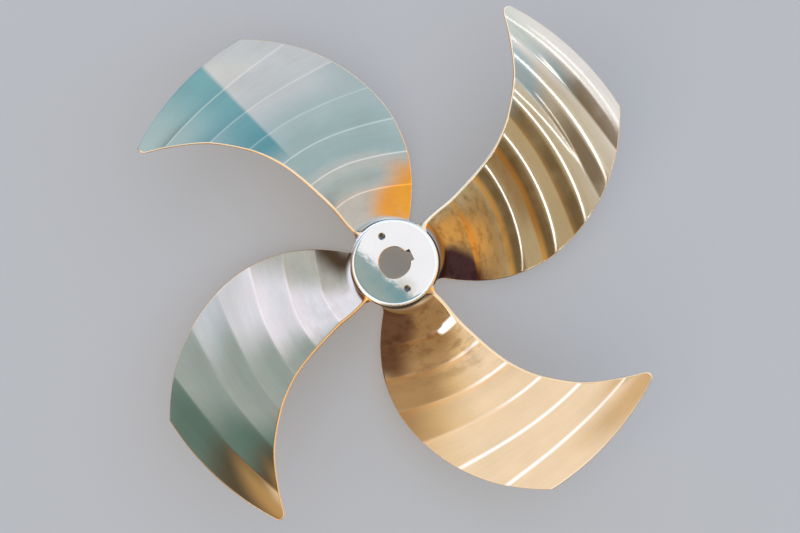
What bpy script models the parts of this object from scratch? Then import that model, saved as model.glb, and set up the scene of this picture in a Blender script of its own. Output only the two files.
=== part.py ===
"""A four-bladed, highly skewed, fixed-pitch ship's propeller, cast in one piece in bronze.

It lies flat on the forward face of its hub, with the shaft's axis along +Z and the aft face on top.
The origin is on the axis, in the forward face, and +X runs through the keyway.
A blade's sections lie on cylinders about the axis. Each follows a helix of constant pitch, so one
point of a blade is given by its radius, by its angle round the axis, and by its depth under the
pressure face, which faces aft.
"""

import math

import bmesh
import bpy
from mathutils import Matrix, Vector

# The whole propeller
DIAMETER = 1.000
PITCH = 1.000
BLADES = 4
TIP_RADIUS = DIAMETER / 2
RISE = PITCH / math.tau

# The hub, a short barrel
HUB_LENGTH = 0.210
HUB_AFT_RADIUS = 0.0785
HUB_FORWARD_RADIUS = 0.080
HUB_WAIST_RADIUS = 0.0815
HUB_WAIST_HEIGHT = 0.092
HUB_AFT_ROUNDING = 0.006
HUB_FORWARD_CHAMFER = 0.003
HUB_STEPS = 72
BARREL_STEPS = 8
ROUNDING_STEPS = 4

# The tapered bore, with its keyway towards +X
BORE_AFT_RADIUS = 0.028
BORE_TAPER = 1 / 10
BORE_CHAMFER = 0.0015
KEYWAY_WIDTH = 0.020
KEYWAY_DEPTH = 0.006

# Two threaded holes in the aft face, for a puller
PULLER_HOLE_RADIUS = 0.006
PULLER_HOLE_DEPTH = 0.030
PULLER_CIRCLE_RADIUS = 0.052
PULLER_HOLE_STEPS = 16
DRILL_POINT = 0.6
CUT_BEYOND = 0.010

# A blade's outline: share of the tip radius, then the angles of its leading and trailing edges in
# degrees, as seen from aft and counted from the blade's own reference line
BLADE_OUTLINE = (
    (0.10, -17.3, 57.3),
    (0.20, -15.0, 53.4),
    (0.30, -11.5, 49.2),
    (0.40, -7.4, 48.4),
    (0.50, -2.1, 48.7),
    (0.60, 3.9, 50.6),
    (0.70, 10.9, 54.0),
    (0.80, 18.1, 58.0),
    (0.90, 26.0, 63.1),
    (1.00, 34.9, 68.2),
)
REFERENCE_ANGLE = -26.0
ROOT_LEADING_ANGLE = -15.0
ROOT_LEADING_HEIGHT = 0.013

# A blade's thickness, the thickness of its edges, and its round corners
THICKNESS_AT_AXIS = 0.040
THICKNESS_AT_TIP = 0.0050
LEADING_EDGE_AT_AXIS = 0.0060
TRAILING_EDGE_AT_AXIS = 0.0080
EDGES_AT_TIP = 0.0040
LEADING_CORNER_RADIUS = 0.005
TRAILING_CORNER_RADIUS = 0.011

# The seven shallow hollows that the milling leaves on the pressure face, one beside the other.
# The ridges between them bow away from the hub towards both edges of the blade.
FIRST_RIDGE = 0.146
BAND_WIDTH = 0.0594
RIDGE_COUNT = 6
BAND_DEPTH = 0.0012
LEADING_BOW = 0.013
TRAILING_BOW_GROWTH = 0.055
TRAILING_BOW_START = 0.170
HOLLOW_EASING = 12.0

# The fillet between blade and hub
FILLET_RADIUS = 0.014
FILLET_HEIGHTS = (0.0, 0.002, 0.005, 0.0085, 0.0125)
ROOT_RADIUS = 0.060
ROOT_MARGIN = 0.007

# How finely the blades are divided
FACE_STEPS = 10
EDGE_STEPS = 3
BAND_STEPS = (0.0, 0.25, 0.5, 0.75)
CORNER_STEPS = (-0.0150, -0.0090, -0.0050)
TIP_EDGE_TURNS = (0.0, 0.25, 0.42)

BRONZE_COLOUR = (0.62, 0.42, 0.21, 1.0)
BRONZE_ROUGHNESS = 0.28
SHARP_ANGLE = 35.0


def clear_scene():
    for thing in list(bpy.data.objects):
        bpy.data.objects.remove(thing, do_unlink=True)


def new_collection(name):
    collection = bpy.data.collections.new(name)
    bpy.context.scene.collection.children.link(collection)
    return collection


def bronze():
    material = bpy.data.materials.new("bronze")
    material.use_nodes = True
    shader = material.node_tree.nodes["Principled BSDF"]
    shader.inputs["Base Color"].default_value = BRONZE_COLOUR
    shader.inputs["Roughness"].default_value = BRONZE_ROUGHNESS
    shader.inputs["Metallic"].default_value = 1.0
    material.diffuse_color = BRONZE_COLOUR
    return material


def new_object(name, mesh, collection):
    thing = bpy.data.objects.new(name, mesh)
    collection.objects.link(thing)
    return thing


def as_cutter(thing):
    thing.hide_render = True
    thing.display_type = "WIRE"
    return thing


def smooth_between(table, share, column):
    """One column of a table, read at a share of the tip radius along a smooth curve."""
    last = len(table) - 2
    row = min(max(sum(entry[0] <= share for entry in table) - 1, 0), last)
    low, high = table[row], table[row + 1]
    before, after = table[max(row - 1, 0)], table[min(row + 2, last + 1)]
    step = high[0] - low[0]
    t = (share - low[0]) / step
    slope_low = (high[column] - before[column]) / (high[0] - before[0]) * step
    slope_high = (after[column] - low[column]) / (after[0] - low[0]) * step
    return (
        (2 * t**3 - 3 * t**2 + 1) * low[column]
        + (t**3 - 2 * t**2 + t) * slope_low
        + (3 * t**2 - 2 * t**3) * high[column]
        + (t**3 - t**2) * slope_high
    )


def between(at_axis, at_tip, radius):
    return at_axis + (at_tip - at_axis) * radius / TIP_RADIUS


def corner_inset(radius, corner_radius, lean):
    """How far a round corner at the tip cuts an edge back that leans by this angle outwards."""
    below_tip = min(radius - TIP_RADIUS, 0.0)
    if below_tip < -corner_radius * (1 + math.sin(lean)):
        return 0.0
    centre = -corner_radius * (math.tan(lean) + 1 / math.cos(lean))
    reach = math.sqrt(max(corner_radius**2 - (below_tip + corner_radius) ** 2, 0.0))
    return below_tip * math.tan(lean) - centre - reach


def edge_lean(column):
    """The angle between an edge and the radial direction, just short of the tip."""
    inner, outer = BLADE_OUTLINE[-2], BLADE_OUTLINE[-1]
    turn = math.radians(outer[column] - inner[column])
    share = (inner[0] + outer[0]) / 2
    return math.atan2(turn * share, outer[0] - inner[0])


def edge_angles(radius):
    """Where the pressure face ends at the leading and at the trailing edge, as angles in radians.

    The outline is what shows from aft, so the round edges' own reach is taken off it.
    """
    share = radius / TIP_RADIUS
    slope = math.atan2(RISE, radius)
    leading = math.radians(smooth_between(BLADE_OUTLINE, share, 1))
    trailing = math.radians(smooth_between(BLADE_OUTLINE, share, 2))
    leading_round = between(LEADING_EDGE_AT_AXIS, EDGES_AT_TIP, radius) / 2
    trailing_round = between(TRAILING_EDGE_AT_AXIS, EDGES_AT_TIP, radius) / 2
    leading -= leading_round * (math.cos(slope) + math.sin(slope) - 1) / radius
    trailing -= trailing_round * (1 + math.sin(slope) - math.cos(slope)) / radius
    leading += corner_inset(radius, LEADING_CORNER_RADIUS, -edge_lean(1)) / radius
    trailing -= corner_inset(radius, TRAILING_CORNER_RADIUS, edge_lean(2)) / radius
    return leading, trailing


def ridge_bow(radius, along):
    """How much farther out a ridge lies here than at mid-chord."""
    from_middle = 2 * along - 1
    if from_middle < 0:
        return LEADING_BOW * from_middle**2
    return max(TRAILING_BOW_GROWTH * (radius - TRAILING_BOW_START), 0.0) * from_middle**2


def bowed_radius(station, along):
    """A station's radius at this share of the chord: bowed at the ridges, plain at root and tip."""
    last_ridge = FIRST_RIDGE + (RIDGE_COUNT - 1) * BAND_WIDTH
    grown = (station - HUB_WAIST_RADIUS - FILLET_RADIUS) / (FIRST_RIDGE - HUB_WAIST_RADIUS - FILLET_RADIUS)
    faded = (TIP_RADIUS - station) / (TIP_RADIUS - last_ridge)
    return station + ridge_bow(station, along) * max(min(grown, faded, 1.0), 0.0)


def band_hollow(station):
    """How far the milled hollow lies under the pressure face at this station."""
    if station < FIRST_RIDGE:
        across = (station - HUB_WAIST_RADIUS) / (FIRST_RIDGE - HUB_WAIST_RADIUS)
    else:
        across = ((station - FIRST_RIDGE) / BAND_WIDTH) % 1.0
    return BAND_DEPTH * 4 * max(across * (1 - across), 0.0)


def hub_radius(height):
    """The barrel's radius: two parabolas that meet at its waist."""
    if height > HUB_WAIST_HEIGHT:
        away = (height - HUB_WAIST_HEIGHT) / (HUB_LENGTH - HUB_WAIST_HEIGHT)
        return HUB_WAIST_RADIUS + (HUB_AFT_RADIUS - HUB_WAIST_RADIUS) * away**2
    away = (HUB_WAIST_HEIGHT - height) / HUB_WAIST_HEIGHT
    return HUB_WAIST_RADIUS + (HUB_FORWARD_RADIUS - HUB_WAIST_RADIUS) * away**2


def helix_height(angle):
    """The height of the pressure face's helix at this angle."""
    return ROOT_LEADING_HEIGHT + RISE * (angle - math.radians(ROOT_LEADING_ANGLE))


def within_hub_ends(height):
    return min(max(height, ROOT_MARGIN), HUB_LENGTH - ROOT_MARGIN)


def fillet_flare(radius, height):
    """How far the fillet widens the blade, where the hub is this near."""
    above_hub = max(radius - hub_radius(within_hub_ends(height)), 0.0)
    short = max(FILLET_RADIUS - above_hub, 0.0)
    return FILLET_RADIUS - math.sqrt(FILLET_RADIUS**2 - short**2)


def section_places():
    """The places round a section: share of the chord, side, and turn round an edge in radians."""
    shares = [(1 - math.cos(math.pi * step / FACE_STEPS)) / 2 for step in range(FACE_STEPS + 1)]
    turns = [math.pi * step / EDGE_STEPS for step in range(1, EDGE_STEPS)]
    places = [(share, "pressure", 0.0) for share in shares]
    places += [(1.0, "trailing", turn) for turn in turns]
    places += [(share, "suction", 0.0) for share in reversed(shares)]
    places += [(0.0, "leading", turn) for turn in turns]
    return places


def blade_point(station, place, edge_turn):
    """A point of the blade's skin, with the edge turn that rounds off the tip's own edge."""
    along, side, turn = place
    radius = bowed_radius(station, along) - EDGES_AT_TIP / 2 * (1 - math.sin(edge_turn))
    slope = math.atan2(RISE, radius)
    chord_per_angle = math.hypot(radius, RISE)
    leading, trailing = edge_angles(radius)
    leading_round = between(LEADING_EDGE_AT_AXIS, EDGES_AT_TIP, radius) / 2
    trailing_round = between(TRAILING_EDGE_AT_AXIS, EDGES_AT_TIP, radius) / 2
    thickest = between(THICKNESS_AT_AXIS, THICKNESS_AT_TIP, radius)
    chord = (trailing - leading) * chord_per_angle
    flat = chord - leading_round - trailing_round
    across, depth, out_across, out_depth = leading_round + flat * along, 0.0, 0.0, -1.0
    if side == "pressure":
        depth = band_hollow(station) * min(HOLLOW_EASING * along * (1 - along), 1.0)
    elif side == "suction":
        edge = 2 * (leading_round + (trailing_round - leading_round) * along)
        depth = edge + (thickest - edge) * 4 * along * (1 - along)
        out_depth = 1.0
    elif side == "trailing":
        across += trailing_round * math.sin(turn)
        depth = trailing_round * (1 - math.cos(turn))
        out_across, out_depth = math.sin(turn), -math.cos(turn)
    else:
        across -= leading_round * math.sin(turn)
        depth = leading_round * (1 + math.cos(turn))
        out_across, out_depth = -math.sin(turn), math.cos(turn)
    middle = leading_round + (trailing_round - leading_round) * along
    depth = middle + (depth - middle) * math.cos(edge_turn)
    angle = leading + across / chord_per_angle
    flare = fillet_flare(radius, helix_height(angle) - depth * math.cos(slope))
    angle += flare * out_across / chord_per_angle
    depth += flare * out_depth
    turned = angle + depth * math.sin(slope) / radius
    height = helix_height(angle) - depth * math.cos(slope)
    if radius < HUB_WAIST_RADIUS + FILLET_RADIUS:
        height = within_hub_ends(height)
    return Vector((radius * math.cos(turned), radius * math.sin(turned), height))


def stations():
    """The stations along a blade: in the hub, up the fillet, over every band, and round the tip."""
    found = [(ROOT_RADIUS, 0.0)]
    found += [(HUB_AFT_RADIUS + height, 0.0) for height in FILLET_HEIGHTS]
    fillet_end = HUB_WAIST_RADIUS + FILLET_RADIUS
    found += [(fillet_end, 0.0), ((fillet_end + FIRST_RIDGE) / 2, 0.0)]
    for band in range(RIDGE_COUNT):
        for part in BAND_STEPS:
            found.append((FIRST_RIDGE + BAND_WIDTH * (band + part), 0.0))
    found = [entry for entry in found if entry[0] < TIP_RADIUS + CORNER_STEPS[0]]
    found += [(TIP_RADIUS + step, 0.0) for step in CORNER_STEPS]
    return found + [(TIP_RADIUS, turn * math.pi) for turn in TIP_EDGE_TURNS]


def blade(index, collection):
    """One blade, lofted through its stations and closed at its root and at its tip."""
    mesh = bmesh.new()
    turn = Matrix.Rotation(math.radians(REFERENCE_ANGLE) + math.tau * index / BLADES, 3, "Z")
    places = section_places()
    rings = []
    for station, edge_turn in stations():
        points = [blade_point(station, place, edge_turn) for place in places]
        rings.append([mesh.verts.new(turn @ point) for point in points])
    around = len(places)
    for inner, outer in zip(rings, rings[1:]):
        for step in range(around):
            following = (step + 1) % around
            mesh.faces.new((inner[step], inner[following], outer[following], outer[step]))
    for ring in (rings[0], rings[-1]):
        for step in range(FACE_STEPS):
            back = 2 * FACE_STEPS + EDGE_STEPS - step
            mesh.faces.new((ring[step], ring[step + 1], ring[back - 1], ring[back]))
        mesh.faces.new(ring[FACE_STEPS : FACE_STEPS + EDGE_STEPS + 1])
        mesh.faces.new([ring[place % around] for place in range(around - EDGE_STEPS, around + 1)])
    bmesh.ops.recalc_face_normals(mesh, faces=mesh.faces)
    bmesh.ops.triangulate(mesh, faces=mesh.faces)
    data = bpy.data.meshes.new(f"blade_{index + 1}")
    mesh.to_mesh(data)
    mesh.free()
    return as_cutter(new_object(f"blade_{index + 1}", data, collection))


def turned(name, profile, steps, collection):
    """A solid turned about the axis from a profile that runs down its outer side, top to bottom."""
    data = bpy.data.meshes.new(name)
    edges = [(place, place + 1) for place in range(len(profile) - 1)]
    data.from_pydata([(radius, 0.0, height) for radius, height in profile], edges, [])
    thing = new_object(name, data, collection)
    screw = thing.modifiers.new("turn", "SCREW")
    screw.steps = steps
    screw.render_steps = steps
    screw.use_merge_vertices = True
    screw.merge_threshold = 0.00001
    screw.use_smooth_shade = True
    return thing


def hub(collection):
    profile = [(0.0, HUB_LENGTH)]
    rounding_height = HUB_LENGTH - HUB_AFT_ROUNDING
    for step in range(ROUNDING_STEPS + 1):
        turn = math.pi / 2 * step / ROUNDING_STEPS
        outer = hub_radius(rounding_height) - HUB_AFT_ROUNDING * (1 - math.sin(turn))
        profile.append((outer, rounding_height + HUB_AFT_ROUNDING * math.cos(turn)))
    for step in range(1, BARREL_STEPS + 1):
        height = rounding_height + (HUB_FORWARD_CHAMFER - rounding_height) * step / BARREL_STEPS
        profile.append((hub_radius(height), height))
    profile.append((HUB_FORWARD_RADIUS - HUB_FORWARD_CHAMFER, 0.0))
    profile.append((0.0, 0.0))
    return turned("propeller", profile, HUB_STEPS, collection)


def bore_radius(height):
    return BORE_AFT_RADIUS + (HUB_LENGTH - height) * BORE_TAPER / 2


def bore_cutter(collection):
    """The tapered bore with a chamfer at each mouth, longer than the hub at both ends."""
    aft = BORE_AFT_RADIUS + BORE_CHAMFER
    forward = bore_radius(0.0) + BORE_CHAMFER
    profile = [
        (0.0, HUB_LENGTH + CUT_BEYOND),
        (aft + CUT_BEYOND, HUB_LENGTH + CUT_BEYOND),
        (aft, HUB_LENGTH),
        (bore_radius(HUB_LENGTH - BORE_CHAMFER), HUB_LENGTH - BORE_CHAMFER),
        (bore_radius(BORE_CHAMFER), BORE_CHAMFER),
        (forward, 0.0),
        (forward + CUT_BEYOND, -CUT_BEYOND),
        (0.0, -CUT_BEYOND),
    ]
    return as_cutter(turned("bore", profile, HUB_STEPS, collection))


def keyway_cutter(collection):
    """A slot that keeps its depth along the taper, so its floor slopes as the bore's wall does."""
    mesh = bmesh.new()
    bmesh.ops.create_cube(mesh, size=1.0)
    for corner in mesh.verts:
        height = HUB_LENGTH + CUT_BEYOND if corner.co.z > 0 else -CUT_BEYOND
        floor = bore_radius(height) + KEYWAY_DEPTH
        corner.co = Vector((floor if corner.co.x > 0 else 0.0, corner.co.y * KEYWAY_WIDTH, height))
    data = bpy.data.meshes.new("keyway")
    mesh.to_mesh(data)
    mesh.free()
    return as_cutter(new_object("keyway", data, collection))


def puller_hole_cutter(side, collection):
    """A drilled hole with the cone that the drill's point leaves, at +Y or -Y of the axis."""
    floor = HUB_LENGTH - PULLER_HOLE_DEPTH
    profile = [
        (0.0, HUB_LENGTH + CUT_BEYOND),
        (PULLER_HOLE_RADIUS, HUB_LENGTH + CUT_BEYOND),
        (PULLER_HOLE_RADIUS, floor),
        (0.0, floor - PULLER_HOLE_RADIUS * DRILL_POINT),
    ]
    hole = as_cutter(turned("puller_hole", profile, PULLER_HOLE_STEPS, collection))
    hole.location.y = side * PULLER_CIRCLE_RADIUS
    return hole


def combine(thing, other, operation):
    step = thing.modifiers.new(other.name, "BOOLEAN")
    step.operation = operation
    step.object = other
    step.solver = "EXACT"


def shade(thing):
    """The flat mouths and faces stay sharp, and the round surfaces are smooth."""
    graph = bpy.context.evaluated_depsgraph_get()
    finished = bpy.data.meshes.new_from_object(thing.evaluated_get(graph))
    thing.modifiers.clear()
    thing.data = finished
    finished.shade_smooth()
    finished.set_sharp_from_angle(angle=math.radians(SHARP_ANGLE))
    finished.materials.clear()
    finished.materials.append(bronze())


def main():
    clear_scene()
    parts = new_collection("ship_propeller")
    cutters = new_collection("construction")
    propeller = hub(parts)
    for index in range(BLADES):
        combine(propeller, blade(index, cutters), "UNION")
    combine(propeller, bore_cutter(cutters), "DIFFERENCE")
    combine(propeller, keyway_cutter(cutters), "DIFFERENCE")
    for side in (1, -1):
        combine(propeller, puller_hole_cutter(side, cutters), "DIFFERENCE")
    shade(propeller)


main()
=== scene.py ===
"""A ship's propeller with four blades, cast in one piece in bronze, milled in bands and polished.

The casting lies on the forward face of its hub, as it is stored, and is seen from above. A blade is
drawn on a grid of its own: rows run from the hub to the tip and columns run round its section, down
the pressure face from the leading edge, round the trailing edge, and back along the suction face.
"""

import math

import bpy
import numpy as np
from bpy.props import FloatProperty, FloatVectorProperty, IntProperty, PointerProperty
from mathutils import Matrix, Vector
from mathutils.geometry import delaunay_2d_cdt


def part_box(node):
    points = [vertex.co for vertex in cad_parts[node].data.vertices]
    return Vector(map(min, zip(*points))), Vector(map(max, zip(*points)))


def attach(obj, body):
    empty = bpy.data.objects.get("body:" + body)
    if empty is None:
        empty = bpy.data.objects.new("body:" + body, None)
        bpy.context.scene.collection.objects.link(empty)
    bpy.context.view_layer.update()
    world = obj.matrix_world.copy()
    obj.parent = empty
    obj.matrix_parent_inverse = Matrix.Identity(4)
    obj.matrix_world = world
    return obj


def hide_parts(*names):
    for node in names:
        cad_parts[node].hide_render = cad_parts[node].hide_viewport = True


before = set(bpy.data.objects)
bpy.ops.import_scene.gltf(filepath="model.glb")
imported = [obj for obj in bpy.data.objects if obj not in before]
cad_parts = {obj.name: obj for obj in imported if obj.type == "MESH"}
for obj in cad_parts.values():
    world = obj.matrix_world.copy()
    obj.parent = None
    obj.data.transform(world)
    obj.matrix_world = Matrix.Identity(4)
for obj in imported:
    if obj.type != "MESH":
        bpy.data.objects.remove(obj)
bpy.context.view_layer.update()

bl_info = {
    "name": "Ship Propeller",
    "version": (1, 0, 0),
    "blender": (4, 5, 0),
    "location": "3D View > Sidebar > Propeller",
    "description": "Builds a four-bladed bronze ship's propeller, its finish and a small studio",
    "category": "Object",
}

CAD_LOW, CAD_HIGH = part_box("propeller")

# A blade's outline as seen from aft: share of the tip radius, then the angles in degrees of its
# leading and trailing edges from the blade's reference line
BLADE_OUTLINE = np.array((
    (0.10, -17.3, 57.3),
    (0.20, -15.0, 53.4),
    (0.30, -11.5, 49.2),
    (0.40, -7.4, 48.4),
    (0.50, -2.1, 48.7),
    (0.60, 3.9, 50.6),
    (0.70, 10.9, 54.0),
    (0.80, 18.1, 58.0),
    (0.90, 26.0, 63.1),
    (1.00, 34.9, 68.2),
))

# How finely the skin is divided
CHORD_STEPS = 72
EDGE_STEPS = 8
FILLET_STEPS = 9
BAND_SHARES = (0.06, 0.15, 0.26, 0.38, 0.50, 0.62, 0.74, 0.85, 0.94)
TIP_TURNS = (0.0, 0.10, 0.20, 0.30, 0.39, 0.46)
ROUND_STEPS = 180
BARREL_STEPS = 44
SEAM_BULGE = 0.06

WELD = 0.00002
SHARP_ANGLE = math.radians(32.0)

# The finishes, as numbers that faces carry
MILLED, GROUND, EDGES, BARREL, RIM, BORE, TURNED = range(7)
FINISH_NAMES = ("milled_bronze", "ground_bronze", "edge_bronze", "barrel_bronze", "rim_bronze", "bored_bronze", "turned_bronze")


class CastingSizes(bpy.types.PropertyGroup):
    """The sizes of the casting."""

    tip_radius: FloatProperty(name="Tip Radius", description="From the axis to a blade's tip", default=0.49997, unit="LENGTH")
    pitch: FloatProperty(name="Pitch", description="How far the helix rises in one turn", default=1.000, unit="LENGTH")
    blades: IntProperty(name="Blades", description="Number of blades", default=4, min=2, max=7)
    reference_angle: FloatProperty(name="First Blade", description="Angle of the first blade from the keyway", default=math.radians(-26.0), subtype="ANGLE")
    root_angle: FloatProperty(name="Root Angle", description="Angle at which the leading edge starts", default=math.radians(-15.0), subtype="ANGLE")
    root_height: FloatProperty(name="Root Height", description="Height at which the leading edge starts", default=0.013, unit="LENGTH")
    root_thickness: FloatProperty(name="Root Thickness", description="Greatest thickness, drawn down to the axis", default=0.040, unit="LENGTH")
    tip_thickness: FloatProperty(name="Tip Thickness", description="Greatest thickness at the tip", default=0.0050, unit="LENGTH")
    leading_edge: FloatProperty(name="Leading Edge", description="Edge thickness, drawn down to the axis", default=0.0060, unit="LENGTH")
    trailing_edge: FloatProperty(name="Trailing Edge", description="Edge thickness, drawn down to the axis", default=0.0080, unit="LENGTH")
    tip_edge: FloatProperty(name="Tip Edge", description="Thickness of all edges at the tip", default=0.0040, unit="LENGTH")
    leading_corner: FloatProperty(name="Leading Corner", description="Corner radius at the tip", default=0.005, unit="LENGTH")
    trailing_corner: FloatProperty(name="Trailing Corner", description="Corner radius at the tip", default=0.0114, unit="LENGTH")
    fillet: FloatProperty(name="Fillet", description="Radius between blade and hub", default=0.014, unit="LENGTH")
    hub_length: FloatProperty(name="Hub Length", description="Length of the hub", default=CAD_LOW.z + 0.210, unit="LENGTH")
    hub_aft: FloatProperty(name="Hub Aft Radius", description="Barrel radius at the aft face", default=0.0785, unit="LENGTH")
    hub_forward: FloatProperty(name="Hub Forward Radius", description="Barrel radius at the forward face", default=0.080, unit="LENGTH")
    hub_waist: FloatProperty(name="Hub Waist Radius", description="Barrel radius where it is widest", default=0.0815, unit="LENGTH")
    waist_height: FloatProperty(name="Waist Height", description="Height of the widest place", default=0.092, unit="LENGTH")
    aft_rounding: FloatProperty(name="Aft Rounding", description="Radius of the aft rim", default=0.006, unit="LENGTH")
    forward_chamfer: FloatProperty(name="Forward Chamfer", description="Chamfer of the forward rim", default=0.003, unit="LENGTH")
    bore: FloatProperty(name="Bore Radius", description="Radius of the bore's aft mouth", default=0.028, unit="LENGTH")
    taper: FloatProperty(name="Bore Taper", description="Growth of the bore's diameter for each unit of length", default=0.1)
    bore_chamfer: FloatProperty(name="Bore Chamfer", description="Chamfer of the bore's mouths", default=0.0015, unit="LENGTH")
    key_width: FloatProperty(name="Keyway Width", description="Width of the keyway", default=0.020, unit="LENGTH")
    key_depth: FloatProperty(name="Keyway Depth", description="Depth beyond the bore's wall", default=0.006, unit="LENGTH")
    puller_radius: FloatProperty(name="Puller Hole Radius", description="Outer radius of the puller threads", default=0.006, unit="LENGTH")
    puller_depth: FloatProperty(name="Puller Hole Depth", description="Depth of the thread", default=0.030, unit="LENGTH")
    puller_circle: FloatProperty(name="Puller Circle", description="Radius on which the puller holes stand", default=0.052, unit="LENGTH")
    thread_pitch: FloatProperty(name="Thread Pitch", description="Rise of the puller threads in one turn", default=0.00175, unit="LENGTH")
    thread_depth: FloatProperty(name="Thread Depth", description="Depth of the puller threads", default=0.0009, unit="LENGTH")


class MillingSizes(bpy.types.PropertyGroup):
    """The bands that the cutter leaves on a pressure face."""

    first_ridge: FloatProperty(name="First Ridge", description="Radius of the ridge next to the hub", default=0.146, unit="LENGTH")
    band_width: FloatProperty(name="Band Width", description="From one ridge to the next", default=0.0594, unit="LENGTH")
    ridges: IntProperty(name="Ridges", description="Number of ridges", default=6, min=1, max=12)
    depth: FloatProperty(name="Band Depth", description="Depth of a band under its ridges", default=0.0007, unit="LENGTH")
    leading_bow: FloatProperty(name="Leading Bow", description="How far a ridge bends outwards at the leading edge", default=0.013, unit="LENGTH")
    trailing_bow: FloatProperty(name="Trailing Bow", description="Growth of the bend at the trailing edge", default=0.055)
    trailing_start: FloatProperty(name="Trailing Start", description="Radius where the bend at the trailing edge starts", default=0.170, unit="LENGTH")


class FinishValues(bpy.types.PropertyGroup):
    """The bronze, how it is worked, and the light and shade painted on it."""

    bronze: FloatVectorProperty(name="Bronze", description="Polished nickel aluminium bronze", default=(0.80, 0.62, 0.40, 1.0), size=4, subtype="COLOR", min=0.0, max=1.0)
    # The dark brown of the painted shade in the bands' inner halves and on the fillets, and of dark blotches near the
    # hub.
    shade_and_blotch_brown: FloatVectorProperty(name="Shade And Blotch Brown", description="Brown film in the bands' inner halves", default=(0.23, 0.14, 0.065, 1.0), size=4, subtype="COLOR", min=0.0, max=1.0)
    # A blue-green painted shadow past a straight line on the second blade's tip, and the tint of blue-green patches in
    # the bands.
    patina_and_teal_shadow: FloatVectorProperty(name="Patina And Teal Shadow", description="Tint of the blue-green patina on the second blade's tip", default=(0.20, 0.58, 0.66, 1.0), size=4, subtype="COLOR", min=0.0, max=1.0)
    # A grey-blue painted cool reflection laid over whole blades, full on the second.
    painted_cool_sheen: FloatVectorProperty(name="Painted Cool Sheen", description="Tint of the thin grey haze between the crests", default=(0.62, 0.71, 0.78, 1.0), size=4, subtype="COLOR", min=0.0, max=1.0)
    # A near-white painted highlight along the ridges' crests.
    crest: FloatVectorProperty(name="Crests", description="Burnished crests of the ridges", default=(1.0, 0.97, 0.94, 1.0), size=4, subtype="COLOR", min=0.0, max=1.0)
    # Gold: a painted gold reflection just past each ridge, on the first and fourth blades.
    gold: FloatVectorProperty(name="Gold", description="Fresh bronze beside a ridge", default=(1.0, 0.54, 0.17, 1.0), size=4, subtype="COLOR", min=0.0, max=1.0)
    edge: FloatVectorProperty(name="Edges", description="Bright bronze of the blades' edges", default=(1.0, 0.78, 0.48, 1.0), size=4, subtype="COLOR", min=0.0, max=1.0)
    rim: FloatVectorProperty(name="Rim", description="Burnished rim of the aft face", default=(1.0, 0.94, 0.82, 1.0), size=4, subtype="COLOR", min=0.0, max=1.0)
    ground: FloatVectorProperty(name="Ground Bronze", description="Ground and brushed bronze", default=(0.66, 0.47, 0.25, 1.0), size=4, subtype="COLOR", min=0.0, max=1.0)


class StudioValues(bpy.types.PropertyGroup):
    """The floor, the camera and the light."""

    floor: FloatVectorProperty(name="Floor", description="Colour of the floor", default=(0.36, 0.345, 0.315, 1.0), size=4, subtype="COLOR", min=0.0, max=1.0)
    glow: FloatVectorProperty(name="Floor Glow", description="Light that comes up through the floor, as on a light table", default=(0.17, 0.168, 0.160, 1.0), size=4, subtype="COLOR", min=0.0, max=1.0)
    floor_radius: FloatProperty(name="Floor Radius", description="Radius of the floor", default=9.0, unit="LENGTH")
    lens: FloatProperty(name="Lens", description="Focal length", default=73.88, unit="CAMERA")
    image_turn: FloatProperty(name="Image Turn", description="Angle of the keyway in the image", default=math.radians(25.96), subtype="ANGLE")
    strength: FloatProperty(name="Light", description="Strength of all lights", default=1.0)


# Geometry of a blade


def smooth_between(table, share, column):
    """One column of a table, read at shares of the tip radius along a smooth curve."""
    place, value = table[:, 0], table[:, column]
    last = len(place) - 2
    row = np.clip(np.searchsorted(place, share, side="right") - 1, 0, last)
    before, after = np.maximum(row - 1, 0), np.minimum(row + 2, last + 1)
    step = place[row + 1] - place[row]
    t = (share - place[row]) / step
    slope_low = (value[row + 1] - value[before]) / (place[row + 1] - place[before]) * step
    slope_high = (value[after] - value[row]) / (place[after] - place[row]) * step
    return (
        (2 * t**3 - 3 * t**2 + 1) * value[row]
        + (t**3 - 2 * t**2 + t) * slope_low
        + (3 * t**2 - 2 * t**3) * value[row + 1]
        + (t**3 - t**2) * slope_high
    )


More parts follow.
